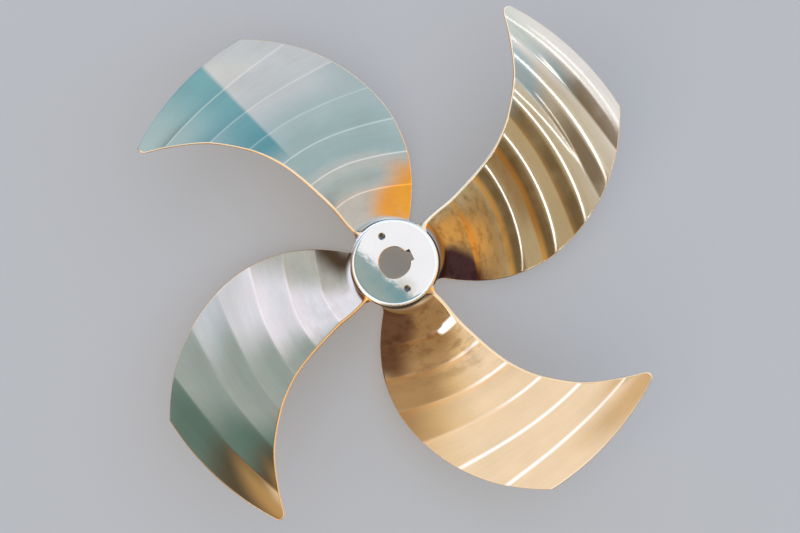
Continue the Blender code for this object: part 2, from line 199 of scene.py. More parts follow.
class BladeShape:
    """Where the skin of a blade lies, for arrays of places on it."""

    def __init__(self, casting, milling):
        self.size = casting
        self.mill = milling
        self.rise = casting.pitch / math.tau

    def between(self, at_axis, at_tip, radius):
        return at_axis + (at_tip - at_axis) * radius / self.size.tip_radius

    def corner_inset(self, radius, corner, lean):
        """How far a round corner at the tip cuts an edge back that leans by this angle."""
        below = np.minimum(radius - self.size.tip_radius, 0.0)
        centre = -corner * (math.tan(lean) + 1 / math.cos(lean))
        reach = np.sqrt(np.maximum(corner**2 - (below + corner) ** 2, 0.0))
        inset = below * math.tan(lean) - centre - reach
        return np.where(below < -corner * (1 + math.sin(lean)), 0.0, inset)

    def edge_lean(self, column):
        inner, outer = BLADE_OUTLINE[-2], BLADE_OUTLINE[-1]
        turn = math.radians(outer[column] - inner[column])
        return math.atan2(turn * (inner[0] + outer[0]) / 2, outer[0] - inner[0])

    def edge_rounds(self, radius):
        leading = self.between(self.size.leading_edge, self.size.tip_edge, radius) / 2
        trailing = self.between(self.size.trailing_edge, self.size.tip_edge, radius) / 2
        return leading, trailing

    def edge_angles(self, radius):
        """Where the pressure face ends at both edges."""
        share = radius / self.size.tip_radius
        slope = np.arctan2(self.rise, radius)
        leading_round, trailing_round = self.edge_rounds(radius)
        leading = np.radians(smooth_between(BLADE_OUTLINE, share, 1))
        trailing = np.radians(smooth_between(BLADE_OUTLINE, share, 2))
        leading = leading - leading_round * (np.cos(slope) + np.sin(slope) - 1) / radius
        trailing = trailing - trailing_round * (1 + np.sin(slope) - np.cos(slope)) / radius
        leading = leading + self.corner_inset(radius, self.size.leading_corner, -self.edge_lean(1)) / radius
        trailing = trailing - self.corner_inset(radius, self.size.trailing_corner, self.edge_lean(2)) / radius
        return leading, trailing

    def bowed_radius(self, station, along):
        """A station's radius at this share of the chord: bowed at the ridges, plain at root and tip."""
        mill, size = self.mill, self.size
        from_middle = 2 * along - 1
        trailing = np.maximum(mill.trailing_bow * (station - mill.trailing_start), 0.0)
        bow = np.where(from_middle < 0, mill.leading_bow, trailing) * from_middle**2
        last_ridge = mill.first_ridge + (mill.ridges - 1) * mill.band_width
        fillet_end = size.hub_waist + size.fillet
        grown = (station - fillet_end) / (mill.first_ridge - fillet_end)
        faded = (size.tip_radius - station) / (size.tip_radius - last_ridge)
        return station + bow * np.clip(np.minimum(grown, faded), 0.0, 1.0)

    def hub_radius(self, height):
        size = self.size
        above = (height - size.waist_height) / (size.hub_length - size.waist_height)
        below = (size.waist_height - height) / size.waist_height
        return np.where(
            height > size.waist_height,
            size.hub_waist + (size.hub_aft - size.hub_waist) * above**2,
            size.hub_waist + (size.hub_forward - size.hub_waist) * below**2,
        )

    def within_hub(self, height):
        """Bends heights smoothly back between the hub's two ends."""
        margin, ease = 0.0068, 0.0035
        high, low = self.size.hub_length - margin, margin
        height = high - ease * np.logaddexp(0.0, (high - height) / ease)
        return low + ease * np.logaddexp(0.0, (height - low) / ease)

    def skin(self, radius, column, edge_turn=0.0, flare=0.0, near_hub=0.0):
        """Points of the smooth skin. column holds along, side and turn for each column."""
        along, side, turn = column
        slope = np.arctan2(self.rise, radius)
        chord_per_angle = np.hypot(radius, self.rise)
        leading, trailing = self.edge_angles(radius)
        leading_round, trailing_round = self.edge_rounds(radius)
        thickest = self.between(self.size.root_thickness, self.size.tip_thickness, radius)
        flat = (trailing - leading) * chord_per_angle - leading_round - trailing_round
        edge = 2 * (leading_round + (trailing_round - leading_round) * along)
        suction = edge + (thickest - edge) * 4 * along * (1 - along)
        sine, cosine = np.sin(turn), np.cos(turn)
        across = leading_round + flat * along
        across = across + np.select([side == 1, side == 3], [trailing_round * sine, -leading_round * sine], 0.0)
        depth = np.select(
            [side == 0, side == 1, side == 2],
            [0.0 * radius, trailing_round * (1 - cosine), suction],
            leading_round * (1 + cosine),
        )
        out_across = np.select([side == 1, side == 3], [sine, -sine], 0.0)
        out_depth = np.select([side == 0, side == 1, side == 2], [-1.0, -cosine, 1.0], cosine)
        depth = edge / 2 + (depth - edge / 2) * np.cos(edge_turn)
        angle = leading + (across + flare * out_across) / chord_per_angle
        depth = depth + flare * out_depth
        turned = angle + depth * np.sin(slope) / radius
        height = self.size.root_height + self.rise * (angle - self.size.root_angle) - depth * np.cos(slope)
        height = height + (self.within_hub(height) - height) * near_hub
        return np.stack([radius * np.cos(turned), radius * np.sin(turned), height], -1)

    def fillet_row(self, column, turn):
        """A row up the fillet, from the hub's own surface (turn 0) to the blade (a quarter turn)."""
        flare = self.size.fillet * (1 - math.sin(turn))
        above = self.size.fillet * (1 - math.cos(turn))
        radius = np.full(column[0].shape, self.size.hub_waist + above)
        nearness = math.cos(turn) ** 2
        for _ in range(12):
            points = self.skin(radius, column, 0.0, flare, nearness)
            radius = self.hub_radius(points[:, 2]) + above
        return self.skin(radius, column, 0.0, flare, nearness), radius


def section_columns():
    """Along, side and turn for every column: 0 pressure, 1 trailing, 2 suction, 3 leading."""
    share = np.linspace(0.0, 1.0, CHORD_STEPS + 1)
    share = 0.55 * share + 0.45 * (1 - np.cos(math.pi * share)) / 2
    turns = np.linspace(0.0, math.pi, EDGE_STEPS + 1)[1:-1]
    along = np.concatenate([share, np.ones(len(turns)), share[::-1], np.zeros(len(turns))])
    side = np.repeat([0, 1, 2, 3], [len(share), len(turns), len(share), len(turns)])
    turn = np.concatenate([0 * share, turns, 0 * share, turns])
    return along, side, turn


def blade_rows(shape, column):
    """All rows of a blade, each with its points and its station."""
    size, mill = shape.size, shape.mill
    along = column[0]
    rows = []
    radius = None
    for step in range(FILLET_STEPS + 1):
        turn = math.pi / 2 * step / FILLET_STEPS
        points, radius = shape.fillet_row(column, turn)
        rows.append((points, size.hub_waist + size.fillet * (1 - math.cos(turn))))
    fillet_end = size.hub_waist + size.fillet
    crest = 0.0004
    first = shape.bowed_radius(mill.first_ridge, along)
    for share in (0.2, 0.4, 0.6, 0.8):
        station = fillet_end + (mill.first_ridge - fillet_end) * share
        rows.append((shape.skin(radius + (first - radius) * share, column), station))
    stations = []
    for band in range(mill.ridges):
        ridge = mill.first_ridge + band * mill.band_width
        stations += [ridge - crest, ridge + crest]
        stations += [ridge + mill.band_width * share for share in BAND_SHARES]
    stations = [station for station in stations if station < size.tip_radius - 0.0155]
    stations += [size.tip_radius - below for below in (0.0152, 0.0122, 0.0096, 0.0073, 0.0053, 0.0036, 0.0022, 0.0011, 0.0004)]
    for station in stations:
        radius = shape.bowed_radius(station, along)
        rows.append((shape.skin(radius - size.tip_edge / 2, column), station))
    for turn in TIP_TURNS:
        edge_turn = turn * math.pi
        radius = np.full(along.shape, size.tip_radius - size.tip_edge / 2 * (1 - math.sin(edge_turn)))
        rows.append((shape.skin(radius, column, edge_turn), size.tip_radius))
    return rows


def add_blade(skin, casting, milling):
    """Adds one blade, open at its root, before its bands are milled. Returns its root's points."""
    shape = BladeShape(casting, milling)
    column = section_columns()
    rows = blade_rows(shape, column)
    around = len(column[0])
    points = np.concatenate([row[0] for row in rows])
    turn = casting.reference_angle
    spin = np.array(((math.cos(turn), math.sin(turn), 0), (-math.sin(turn), math.cos(turn), 0), (0, 0, 1)))
    points = points @ spin
    faces, kinds = [], []
    side = column[1]
    for row in range(len(rows) - 1):
        for step in range(around):
            following = (step + 1) % around
            low, high = row * around, (row + 1) * around
            faces.append((low + step, low + following, high + following, high + step))
            both = {side[step], side[following]}
            kinds.append(MILLED if both == {0} else GROUND if both == {2} else EDGES)
    last = (len(rows) - 1) * around
    count = CHORD_STEPS + 1
    edge = EDGE_STEPS - 1
    for step in range(CHORD_STEPS):
        back = 2 * count + edge - 1 - step
        faces.append((last + step, last + step + 1, last + back - 1, last + back))
        kinds.append(EDGES)
    faces.append(tuple(last + place for place in range(count - 1, count + edge + 1)))
    faces.append(tuple(last + place % around for place in range(2 * count + edge - 1, around + 1)))
    kinds += [EDGES, EDGES]
    faces = [face[::-1] for face in faces]
    stations = np.repeat([row[1] for row in rows], around)
    turned = np.cos(column[2])
    milled = np.select([side == 0, side == 1, side == 3], [1.0, np.maximum(turned, 0.0) ** 2, np.minimum(turned, 0.0) ** 2], 0.0)
    skin.add(points, faces, kinds, stations, np.tile(column[0], len(rows)), np.tile(milled, len(rows)))
    return points[:around]


class Skin:
    """Points and faces gathered from several parts, with values for points and a finish for faces."""

    def __init__(self):
        self.points, self.faces, self.finishes = [], [], []
        self.values = {"station": [], "along": [], "milled": []}

    def add(self, points, faces, finish, station=0.0, along=0.5, milled=0.0):
        start = sum(len(part) for part in self.points)
        self.points.append(np.asarray(points))
        self.faces += [tuple(start + place for place in face) for face in faces]
        self.finishes += list(np.broadcast_to(finish, len(faces)))
        for name, value in (("station", station), ("along", along), ("milled", milled)):
            self.values[name].append(np.broadcast_to(np.asarray(value, dtype=float), len(points)))

    def thing(self, name, finishes=()):
        """An object with these points and faces."""
        mesh = bpy.data.meshes.new(name)
        mesh.from_pydata(np.concatenate(self.points).tolist(), [], self.faces)
        mesh.polygons.foreach_set("use_smooth", np.ones(len(self.faces), dtype=bool))
        for finish in finishes:
            mesh.materials.append(finish)
        for label, parts in self.values.items():
            layer = mesh.attributes.new(label, "FLOAT", "POINT")
            layer.data.foreach_set("value", np.concatenate(parts).astype(np.float32))
        layer = mesh.attributes.new("finish", "INT", "FACE")
        layer.data.foreach_set("value", np.array(self.finishes, dtype=np.int32))
        mesh.update()
        thing = bpy.data.objects.new(name, mesh)
        bpy.context.scene.collection.objects.link(thing)
        return thing


# Geometry of the hub


def fill_flat(loops, loose, inside):
    """Triangles between closed loops of flat points, kept where inside says so."""
    points, edges = [], []
    for loop in loops:
        start = len(points)
        points += [Vector(point) for point in loop]
        edges += [(start + step, start + (step + 1) % len(loop)) for step in range(len(loop))]
    points += [Vector(point) for point in loose]
    found, _, triangles, _, _, _ = delaunay_2d_cdt(points, edges, [], 0, 1e-7)
    found = np.array([tuple(point) for point in found])
    kept = []
    for triangle in triangles:
        corners = found[list(triangle)]
        middle = corners.mean(axis=0)
        area = np.cross(corners[1] - corners[0], corners[2] - corners[0])
        if abs(area) > 1e-11 and inside(middle):
            kept.append(tuple(triangle) if area > 0 else tuple(reversed(triangle)))
    return found, kept


def in_loop(loop, point):
    """True where a closed loop of flat points holds the point."""
    x, y = np.array(loop)[:, 0], np.array(loop)[:, 1]
    nx, ny = np.roll(x, -1), np.roll(y, -1)
    crosses = (y > point[1]) != (ny > point[1])
    with np.errstate(divide="ignore", invalid="ignore"):
        at = x + (point[1] - y) / (ny - y) * (nx - x)
    return bool(np.count_nonzero(crosses & (point[0] < at)) % 2)


def add_barrel(skin, casting, milling, root):
    """Adds one blade's share of the barrel, sheared along the helix, with the root left open."""
    shape = BladeShape(casting, milling)
    reach = casting.hub_waist
    rise = shape.rise
    angles = np.unwrap(np.arctan2(root[:, 1], root[:, 0]))
    ring = np.stack([angles * reach, root[:, 2]], -1)
    low = casting.forward_chamfer
    high = casting.hub_length - casting.aft_rounding
    lean = 0.80
    sheared = angles - lean * root[:, 2] / rise
    sector = math.tau / casting.blades
    step = math.tau / ROUND_STEPS
    start = (sheared.min() + sheared.max()) / 2 - sector / 2 + lean * high / rise
    start = math.floor(start / step) * step
    heights = np.linspace(high, low, BARREL_STEPS + 1)
    across = int(round(sector / step))
    bulge = SEAM_BULGE * np.sin(math.pi * (heights - low) / (high - low))
    offset = lean * (heights - high) / rise + bulge
    left = [((start + turn) * reach, height) for turn, height in zip(offset, heights)]
    right = [((start + sector + turn) * reach, height) for turn, height in zip(offset, heights)]
    top = [((start + step * k) * reach, high) for k in range(1, across)]
    bottom = [((start + offset[-1] + step * k) * reach, low) for k in range(1, across)]
    outer = left + bottom + right[::-1] + top[::-1]
    loose = []
    for height, turn in zip(heights[1:-1], offset[1:-1]):
        for k in range(1, across):
            point = ((start + turn + step * k) * reach, height)
            if not in_loop(ring, point) and np.min(np.hypot(*(ring - point).T)) > 0.0016:
                loose.append(point)
    flat, faces = fill_flat([outer, ring.tolist()], loose, lambda point: in_loop(outer, point) and not in_loop(ring, point))
    radius = shape.hub_radius(flat[:, 1])
    turn = flat[:, 0] / reach
    points = np.stack([radius * np.cos(turn), radius * np.sin(turn), flat[:, 1]], -1)
    skin.add(points, faces, BARREL)
    return start, start + offset[-1]


def loft(rings, closed=True):
    """Points and faces between rings of equal length, from the first ring to the last."""
    count = len(rings[0])
    points = np.concatenate(rings)
    faces = []
    for row in range(len(rings) - 1):
        for step in range(count if closed else count - 1):
            following = (step + 1) % count
            faces.append((row * count + step, row * count + following, (row + 1) * count + following, (row + 1) * count + step))
    return points, faces


def circle(radius, height, count, start=0.0):
    turn = start + np.arange(count) * math.tau / count
    return np.stack([radius * np.cos(turn), radius * np.sin(turn), np.full(count, height)], -1)


def bore_outline(radius, half_width, floor, height):
    """The bore's section with its keyway towards +X, counter-clockwise, corners slightly round."""
    corner = 0.0008
    mouth = math.asin(half_width / radius)
    arc = np.linspace(mouth, math.tau - mouth, 121)
    points = [(radius * math.cos(turn), radius * math.sin(turn)) for turn in arc]
    start_x = radius * math.cos(mouth)
    for share in (0.25, 0.5, 0.75):
        points.append((start_x + (floor - corner - start_x) * share, -half_width))
    for turn in np.linspace(-math.pi / 2, 0.0, 5):
        points.append((floor - corner + corner * math.cos(turn), -half_width + corner + corner * math.sin(turn)))
    for share in (0.25, 0.5, 0.75):
        points.append((floor, (-half_width + corner) * (1 - 2 * share)))
    for turn in np.linspace(0.0, math.pi / 2, 5):
        points.append((floor - corner + corner * math.cos(turn), half_width - corner + corner * math.sin(turn)))
    for share in (0.25, 0.5, 0.75):
        points.append((floor - corner + (start_x - floor + corner) * share, half_width))
    return np.array([(x, y, height) for x, y in points])


def puller_centres(casting):
    return [(0.0, casting.puller_circle), (0.0, -casting.puller_circle)]


def add_core(skin, casting, milling, aft_start, forward_start):
    """Adds the aft rim and face, the bore with its keyway, and the forward face."""
    shape = BladeShape(casting, milling)
    length = casting.hub_length
    high = length - casting.aft_rounding
    outer = float(shape.hub_radius(np.array(high)))
    rings = []
    for share in np.linspace(0.0, 1.0, 11):
        turn = math.pi / 2 * share
        radius = outer - casting.aft_rounding * (1 - math.cos(turn))
        rings.append(circle(radius, high + casting.aft_rounding * math.sin(turn), ROUND_STEPS, aft_start))
    skin.add(*loft(rings), np.repeat([BARREL, RIM], [3 * ROUND_STEPS, 7 * ROUND_STEPS]))
    rim = rings[-1]
    half = casting.key_width / 2
    chamfer, broken = casting.bore_chamfer, 0.0006
    levels = [(length, chamfer, broken), (length - chamfer / 2, chamfer / 2, broken / 2), (length - chamfer, 0.0, 0.0)]
    levels += [(height, 0.0, 0.0) for height in np.linspace(length - chamfer, chamfer, 22)[1:]]
    levels += [(chamfer / 2, chamfer / 2, broken / 2), (0.0, chamfer, broken)]
    outlines = []
    for height, wider, key_wider in levels:
        bore = casting.bore + (length - height) * casting.taper / 2
        outlines.append(bore_outline(bore + wider, half + key_wider, bore + casting.key_depth + key_wider, height))
    skin.add(*loft(outlines), BORE)
    holes = []
    for x, y in puller_centres(casting):
        holes.append(circle(casting.puller_radius + 0.0007, length, 48) + np.array((x, y, 0.0)))
    loops = [rim[:, :2].tolist(), outlines[0][:, :2].tolist()] + [hole[:, :2].tolist() for hole in holes]
    loose = []
    for radius in np.arange(0.040, 0.071, 0.005):
        for turn in np.arange(60) * math.tau / 60:
            point = (radius * math.cos(turn), radius * math.sin(turn))
            near = min(math.hypot(point[0] - x, point[1] - y) for x, y in puller_centres(casting))
            if near > 0.009 and not in_loop(loops[1], point):
                loose.append(point)
    flat, faces = fill_flat(loops, loose, lambda point: in_loop(loops[0], point) and not any(in_loop(loop, point) for loop in loops[1:]))
    skin.add(np.column_stack([flat, np.full(len(flat), length)]), faces, TURNED)
    low = casting.forward_chamfer
    forward = casting.hub_forward
    barrel_end = float(shape.hub_radius(np.array(low)))
    foot = [circle(radius, height, ROUND_STEPS, forward_start) for radius, height in ((forward - low, 0.0), (barrel_end, low))]
    skin.add(*loft(foot), BARREL)
    loops = [foot[0][:, :2].tolist(), outlines[-1][:, :2].tolist()]
    flat, faces = fill_flat(loops, [], lambda point: in_loop(loops[0], point) and not in_loop(loops[1], point))
    skin.add(np.column_stack([flat, np.zeros(len(flat))]), [face[::-1] for face in faces], TURNED)


def puller_hole(casting):
    """A hole about the axis before it is tapped, with a small countersink and a drill's cone."""
    length, radius = casting.hub_length, casting.puller_radius
    count = 48
    depths = [0.0, 0.00035, 0.0007] + list(np.linspace(0.0007, casting.puller_depth, 120)[1:])
    rings = [circle(radius + max(0.0007 - depth, 0.0), length - depth, count) for depth in depths]
    for share in (0.75, 0.5, 0.25, 0.06):
        rings.append(circle(radius * share, length - casting.puller_depth - radius * 0.6 * (1 - share), count))
    points, faces = loft(rings)
    faces.append(tuple(range(len(points) - count, len(points))))
    skin = Skin()
    skin.add(points, faces, BORE)
    return skin.thing("puller_hole")


# Node trees


class Wiring:
    """Adds nodes to one tree, with a value or a link on each named input."""

    def __init__(self, tree):
        self.tree = tree
        tree.nodes.clear()

    def set(self, node, key, value):
        socket = node.inputs[key]
        if isinstance(value, bpy.types.NodeSocket):
            self.tree.links.new(value, socket)
        else:
            socket.default_value = value

    def add(self, kind, inputs=None, **settings):
        node = self.tree.nodes.new(kind)
        node.location = (len(self.tree.nodes) % 12 * 190, -(len(self.tree.nodes) // 12) * 260)
        for name, value in settings.items():
            setattr(node, name, value)
        for key, value in (inputs or {}).items():
            self.set(node, key, value)
        return node

    def math(self, operation, *values, clamp=False):
        node = self.add("ShaderNodeMath", dict(enumerate(values)), operation=operation, use_clamp=clamp)
        return node.outputs[0]

    def vector(self, operation, *values):
        node = self.add("ShaderNodeVectorMath", operation=operation)
        for place, value in enumerate(values):
            self.set(node, 3 if operation == "SCALE" and place == 1 else place, value)
        return node.outputs["Value" if operation in ("LENGTH", "DOT_PRODUCT") else "Vector"]

    def smooth(self, value, low, high):
        """0 where the value is low, 1 where it is high, with a smooth step between."""
        node = self.add("ShaderNodeMapRange", {"Value": value, "From Min": low, "From Max": high}, interpolation_type="SMOOTHSTEP")
        return node.outputs["Result"]

    def blend(self, factor, first, second, kind="MIX"):
        """A colour between two colours."""
        node = self.add("ShaderNodeMix", {0: factor, 6: first, 7: second}, data_type="RGBA", blend_type=kind)
        return node.outputs[2]

    def noise(self, vector, scale, detail=2.0, roughness=0.5):
        node = self.add("ShaderNodeTexNoise", {"Vector": vector, "Scale": scale, "Detail": detail, "Roughness": roughness})
        return node.outputs["Fac"]


def new_group(name, kind, inputs, outputs):
    """A node group with named sockets. Returns the group, its wiring and its inner inputs."""
    tree = bpy.data.node_groups.new(name, kind)
    for label, socket, default in inputs:
        item = tree.interface.new_socket(label, in_out="INPUT", socket_type=socket)
        if default is not None:
            item.default_value = default
    for label, socket in outputs:
        tree.interface.new_socket(label, in_out="OUTPUT", socket_type=socket)
    wires = Wiring(tree)
    return tree, wires, wires.add("NodeGroupInput").outputs


def named(wires, name):
    node = wires.add("GeometryNodeInputNamedAttribute", {"Name": name}, data_type="FLOAT")
    return node.outputs["Attribute"]


def bands_tree():
    """Sinks the bands into the pressure face, from the station and the share of each point."""
    inputs = [
        ("Geometry", "NodeSocketGeometry", None),
        ("First Ridge", "NodeSocketFloat", 0.146),
        ("Band Width", "NodeSocketFloat", 0.06),
        ("Depth", "NodeSocketFloat", 0.001),
        ("Root Radius", "NodeSocketFloat", 0.09),
    ]
    tree, wires, given = new_group("Milled Bands", "GeometryNodeTree", inputs, [("Geometry", "NodeSocketGeometry")])
    station, milled = (named(wires, name) for name in ("station", "milled"))
    past = wires.math("SUBTRACT", station, given["First Ridge"])
    outer = wires.math("FRACT", wires.math("DIVIDE", past, given["Band Width"]))
    room = wires.math("SUBTRACT", given["First Ridge"], given["Root Radius"])
    inner = wires.math("DIVIDE", wires.math("SUBTRACT", station, given["Root Radius"]), room, clamp=True)
    beyond = wires.math("GREATER_THAN", past, 0.0)
    across = wires.math("ADD", inner, wires.math("MULTIPLY", wires.math("SUBTRACT", outer, inner), beyond))
    crown = wires.math("MULTIPLY", across, wires.math("SUBTRACT", 1.0, across))
    sunk = wires.math("MULTIPLY", wires.math("MULTIPLY", crown, 4.0), given["Depth"])
    sunk = wires.math("MULTIPLY", sunk, milled)
    normal = wires.add("GeometryNodeInputNormal").outputs["Normal"]
    offset = wires.vector("SCALE", normal, wires.math("MULTIPLY", sunk, -1.0))
    moved = wires.add("GeometryNodeSetPosition", {"Geometry": given["Geometry"], "Offset": offset})
    wires.add("NodeGroupOutput", {"Geometry": moved.outputs["Geometry"]})
    return tree


def thread_tree():
    """Raises a thread on the wall of a hole that stands about the axis."""
    inputs = [
        ("Geometry", "NodeSocketGeometry", None),
        ("Pitch", "NodeSocketFloat", 0.00175),
        ("Depth", "NodeSocketFloat", 0.0009),
        ("Mouth", "NodeSocketFloat", 0.21),
        ("Length", "NodeSocketFloat", 0.03),
    ]
    tree, wires, given = new_group("Thread", "GeometryNodeTree", inputs, [("Geometry", "NodeSocketGeometry")])
    place = wires.add("GeometryNodeInputPosition").outputs["Position"]
    parts = wires.add("ShaderNodeSeparateXYZ", {0: place}).outputs
    turn = wires.math("DIVIDE", wires.math("ARCTAN2", parts["Y"], parts["X"]), math.tau)
    wave = wires.math("FRACT", wires.math("ADD", wires.math("DIVIDE", parts["Z"], given["Pitch"]), turn))
    crest = wires.math("SUBTRACT", 1.0, wires.math("MULTIPLY", wires.math("ABSOLUTE", wires.math("SUBTRACT", wave, 0.5)), 2.4), clamp=True)
    below = wires.math("SUBTRACT", given["Mouth"], parts["Z"])
    start = wires.smooth(below, 0.0007, 0.0022)
    left = wires.math("SUBTRACT", given["Length"], below)
    rise = wires.math("MULTIPLY", wires.math("MULTIPLY", crest, start), wires.smooth(left, 0.0, 0.001))
    inwards = wires.math("MULTIPLY", wires.math("MULTIPLY", rise, given["Depth"]), -1.0)
    flat = wires.add("ShaderNodeCombineXYZ", {0: parts["X"], 1: parts["Y"]}).outputs[0]
    offset = wires.vector("SCALE", wires.vector("NORMALIZE", flat), inwards)
    moved = wires.add("GeometryNodeSetPosition", {"Geometry": given["Geometry"], "Offset": offset})
    wires.add("NodeGroupOutput", {"Geometry": moved.outputs["Geometry"]})
    return tree


def casting_tree(finishes):
    """Repeats a blade with its share of the barrel round the shaft and welds the core to them."""
    inputs = [
        ("Geometry", "NodeSocketGeometry", None),
        ("Core", "NodeSocketObject", None),
        ("Blades", "NodeSocketInt", 4),
        ("Weld", "NodeSocketFloat", WELD),
    ]
    inputs += [(finish.name, "NodeSocketMaterial", None) for finish in finishes]
    tree, wires, given = new_group("Casting", "GeometryNodeTree", inputs, [("Geometry", "NodeSocketGeometry")])
    line = wires.add("GeometryNodeMeshLine", {"Count": given["Blades"], "Offset": (0.0, 0.0, 0.0)}, mode="OFFSET")
    index = wires.add("GeometryNodeInputIndex").outputs["Index"]
    turn = wires.math("DIVIDE", wires.math("MULTIPLY", index, math.tau), given["Blades"])
    spin = wires.add("ShaderNodeCombineXYZ", {2: turn}).outputs[0]
    placed = wires.add("GeometryNodeInstanceOnPoints", {"Points": line.outputs[0], "Instance": given["Geometry"], "Rotation": spin})
    marked = wires.add("GeometryNodeStoreNamedAttribute", {"Geometry": placed.outputs[0], "Name": "blade", "Value": index}, data_type="FLOAT", domain="INSTANCE")
    core = wires.add("GeometryNodeObjectInfo", {"Object": given["Core"]}, transform_space="ORIGINAL")
    joined = wires.add("GeometryNodeJoinGeometry")
    for geometry in (marked.outputs[0], core.outputs["Geometry"]):
        wires.tree.links.new(geometry, joined.inputs[0])
    real = wires.add("GeometryNodeRealizeInstances", {"Geometry": joined.outputs[0]})
    welded = wires.add("GeometryNodeMergeByDistance", {"Geometry": real.outputs[0], "Distance": given["Weld"]})
    shown = welded.outputs[0]
    number = wires.add("GeometryNodeInputNamedAttribute", {"Name": "finish"}, data_type="INT").outputs["Attribute"]
    for place, finish in enumerate(finishes):
        chosen = wires.add("FunctionNodeCompare", {2: number, 3: place}, data_type="INT", operation="EQUAL").outputs[0]
        node = wires.add("GeometryNodeSetMaterial", {"Geometry": shown, "Selection": chosen, "Material": given[finish.name]})
        shown = node.outputs[0]
    wires.add("NodeGroupOutput", {"Geometry": shown})
    return tree


def with_tree(thing, tree, values):
    """Puts a tree on an object and sets its inputs by their identifiers."""
    modifier = thing.modifiers.new(tree.name, "NODES")
    modifier.node_group = tree
    for item in tree.interface.items_tree:
        if item.item_type == "SOCKET" and item.in_out == "INPUT" and item.name in values:
            modifier[item.identifier] = values[item.name]
    return modifier


def settled(thing, name):
    """The object's evaluated mesh as a plain mesh of its own."""
    graph = bpy.context.evaluated_depsgraph_get()
    graph.update()
    mesh = bpy.data.meshes.new_from_object(thing.evaluated_get(graph), preserve_all_data_layers=True, depsgraph=graph)
    mesh.name = name
    return mesh


def remove(thing):
    mesh = thing.data
    bpy.data.objects.remove(thing, do_unlink=True)
    bpy.data.meshes.remove(mesh)


# Effects that the finishes share


def place_in_band():
    """How far across its band a station lies: a thin line along each ridge for a painted highlight, the side just past
    a ridge for a painted gold reflection, the inner half, and a sheltered part.
    """
    inputs = [
        ("Station", "NodeSocketFloat", 0.2),
        ("First Ridge", "NodeSocketFloat", 0.146),
        ("Band Width", "NodeSocketFloat", 0.0594),
        ("Line Width", "NodeSocketFloat", 0.03),
    ]
    outputs = [(name, "NodeSocketFloat") for name in ("Ridge", "Painted Gold", "Inner", "Sheltered")]
    tree, wires, given = new_group("Place in Band", "ShaderNodeTree", inputs, outputs)
    past = wires.math("DIVIDE", wires.math("SUBTRACT", given["Station"], given["First Ridge"]), given["Band Width"])
    across = wires.math("FRACT", wires.math("ADD", past, 8.0))
    nearest = wires.math("MINIMUM", across, wires.math("SUBTRACT", 1.0, across))
    ridge = wires.math("SUBTRACT", 1.0, wires.smooth(nearest, 0.0, given["Line Width"]))
    inner = wires.math("MULTIPLY", wires.smooth(across, 0.0, 0.09), wires.math("SUBTRACT", 1.0, wires.smooth(across, 0.40, 0.58)))
    # the side just past a ridge, where a gold reflection is painted
    painted_gold = wires.math("SUBTRACT", 1.0, wires.smooth(across, 0.08, 0.26))
    sheltered = wires.math("MULTIPLY", wires.smooth(across, 0.0, 0.12), wires.math("SUBTRACT", 1.0, wires.smooth(across, 0.40, 0.92)))
    wires.add("NodeGroupOutput", {"Ridge": ridge, "Painted Gold": painted_gold, "Inner": inner, "Sheltered": sheltered})
    return tree


def brushed_marks():
    """Fine streaks that run along one direction of a pair of coordinates."""
    inputs = [
        ("Vector", "NodeSocketVector", None),
        ("Fineness", "NodeSocketFloat", 400.0),
        ("Stretch", "NodeSocketFloat", 0.04),
    ]
    tree, wires, given = new_group("Brushed Marks", "ShaderNodeTree", inputs, [("Height", "NodeSocketFloat")])
    parts = wires.add("ShaderNodeSeparateXYZ", {0: given["Vector"]}).outputs
    drawn = wires.add("ShaderNodeCombineXYZ", {0: wires.math("MULTIPLY", parts[0], given["Stretch"]), 1: parts[1], 2: parts[2]}).outputs[0]
    fine = wires.noise(drawn, given["Fineness"], 3.0, 0.65)
    broad = wires.noise(drawn, wires.math("MULTIPLY", given["Fineness"], 0.17), 2.0, 0.5)
    height = wires.math("ADD", wires.math("MULTIPLY", fine, 0.65), wires.math("MULTIPLY", broad, 0.35))
    wires.add("NodeGroupOutput", {"Height": height})
    return tree


def cloudy_polish():
    """Slow changes of tone, as hand polishing and handling leave them."""
    inputs = [
        ("Vector", "NodeSocketVector", None),
        ("Scale", "NodeSocketFloat", 9.0),
        ("Contrast", "NodeSocketFloat", 0.2),
    ]
    tree, wires, given = new_group("Cloudy Polish", "ShaderNodeTree", inputs, [("Tone", "NodeSocketFloat")])
    slow = wires.noise(given["Vector"], given["Scale"], 4.0, 0.55)
    grain = wires.noise(given["Vector"], wires.math("MULTIPLY", given["Scale"], 60.0), 1.0, 0.5)
    mixed = wires.math("ADD", wires.math("MULTIPLY", slow, 0.8), wires.math("MULTIPLY", grain, 0.2))
    tone = wires.math("ADD", 1.0, wires.math("MULTIPLY", wires.math("SUBTRACT", mixed, 0.5), given["Contrast"]))
    wires.add("NodeGroupOutput", {"Tone": tone})
    return tree


class Effects:
    """The shared shader groups, each built once."""

    def __init__(self):
        self.band = place_in_band()
        self.brushed = brushed_marks()
        self.cloudy = cloudy_polish()


def new_material(name):
    material = bpy.data.materials.new(name)
    material.use_nodes = True
    return material, Wiring(material.node_tree)


def use_group(wires, tree, inputs):
    return wires.add("ShaderNodeGroup", inputs, node_tree=tree).outputs


def finish_shader(wires, colour, roughness, normal=None, metallic=1.0):
    shader = wires.add("ShaderNodeBsdfPrincipled", {"Base Color": colour, "Roughness": roughness, "Metallic": metallic})
    if normal is not None:
        wires.set(shader, "Normal", normal)
    output = wires.add("ShaderNodeOutputMaterial", {"Surface": shader.outputs[0]})
    return shader, output


def tinted(wires, colour, tone):
    """A colour made lighter or darker by a tone about 1."""
    grey = wires.add("ShaderNodeCombineColor", {0: tone, 1: tone, 2: tone}).outputs[0]
    return wires.blend(1.0, colour, grey, "MULTIPLY")


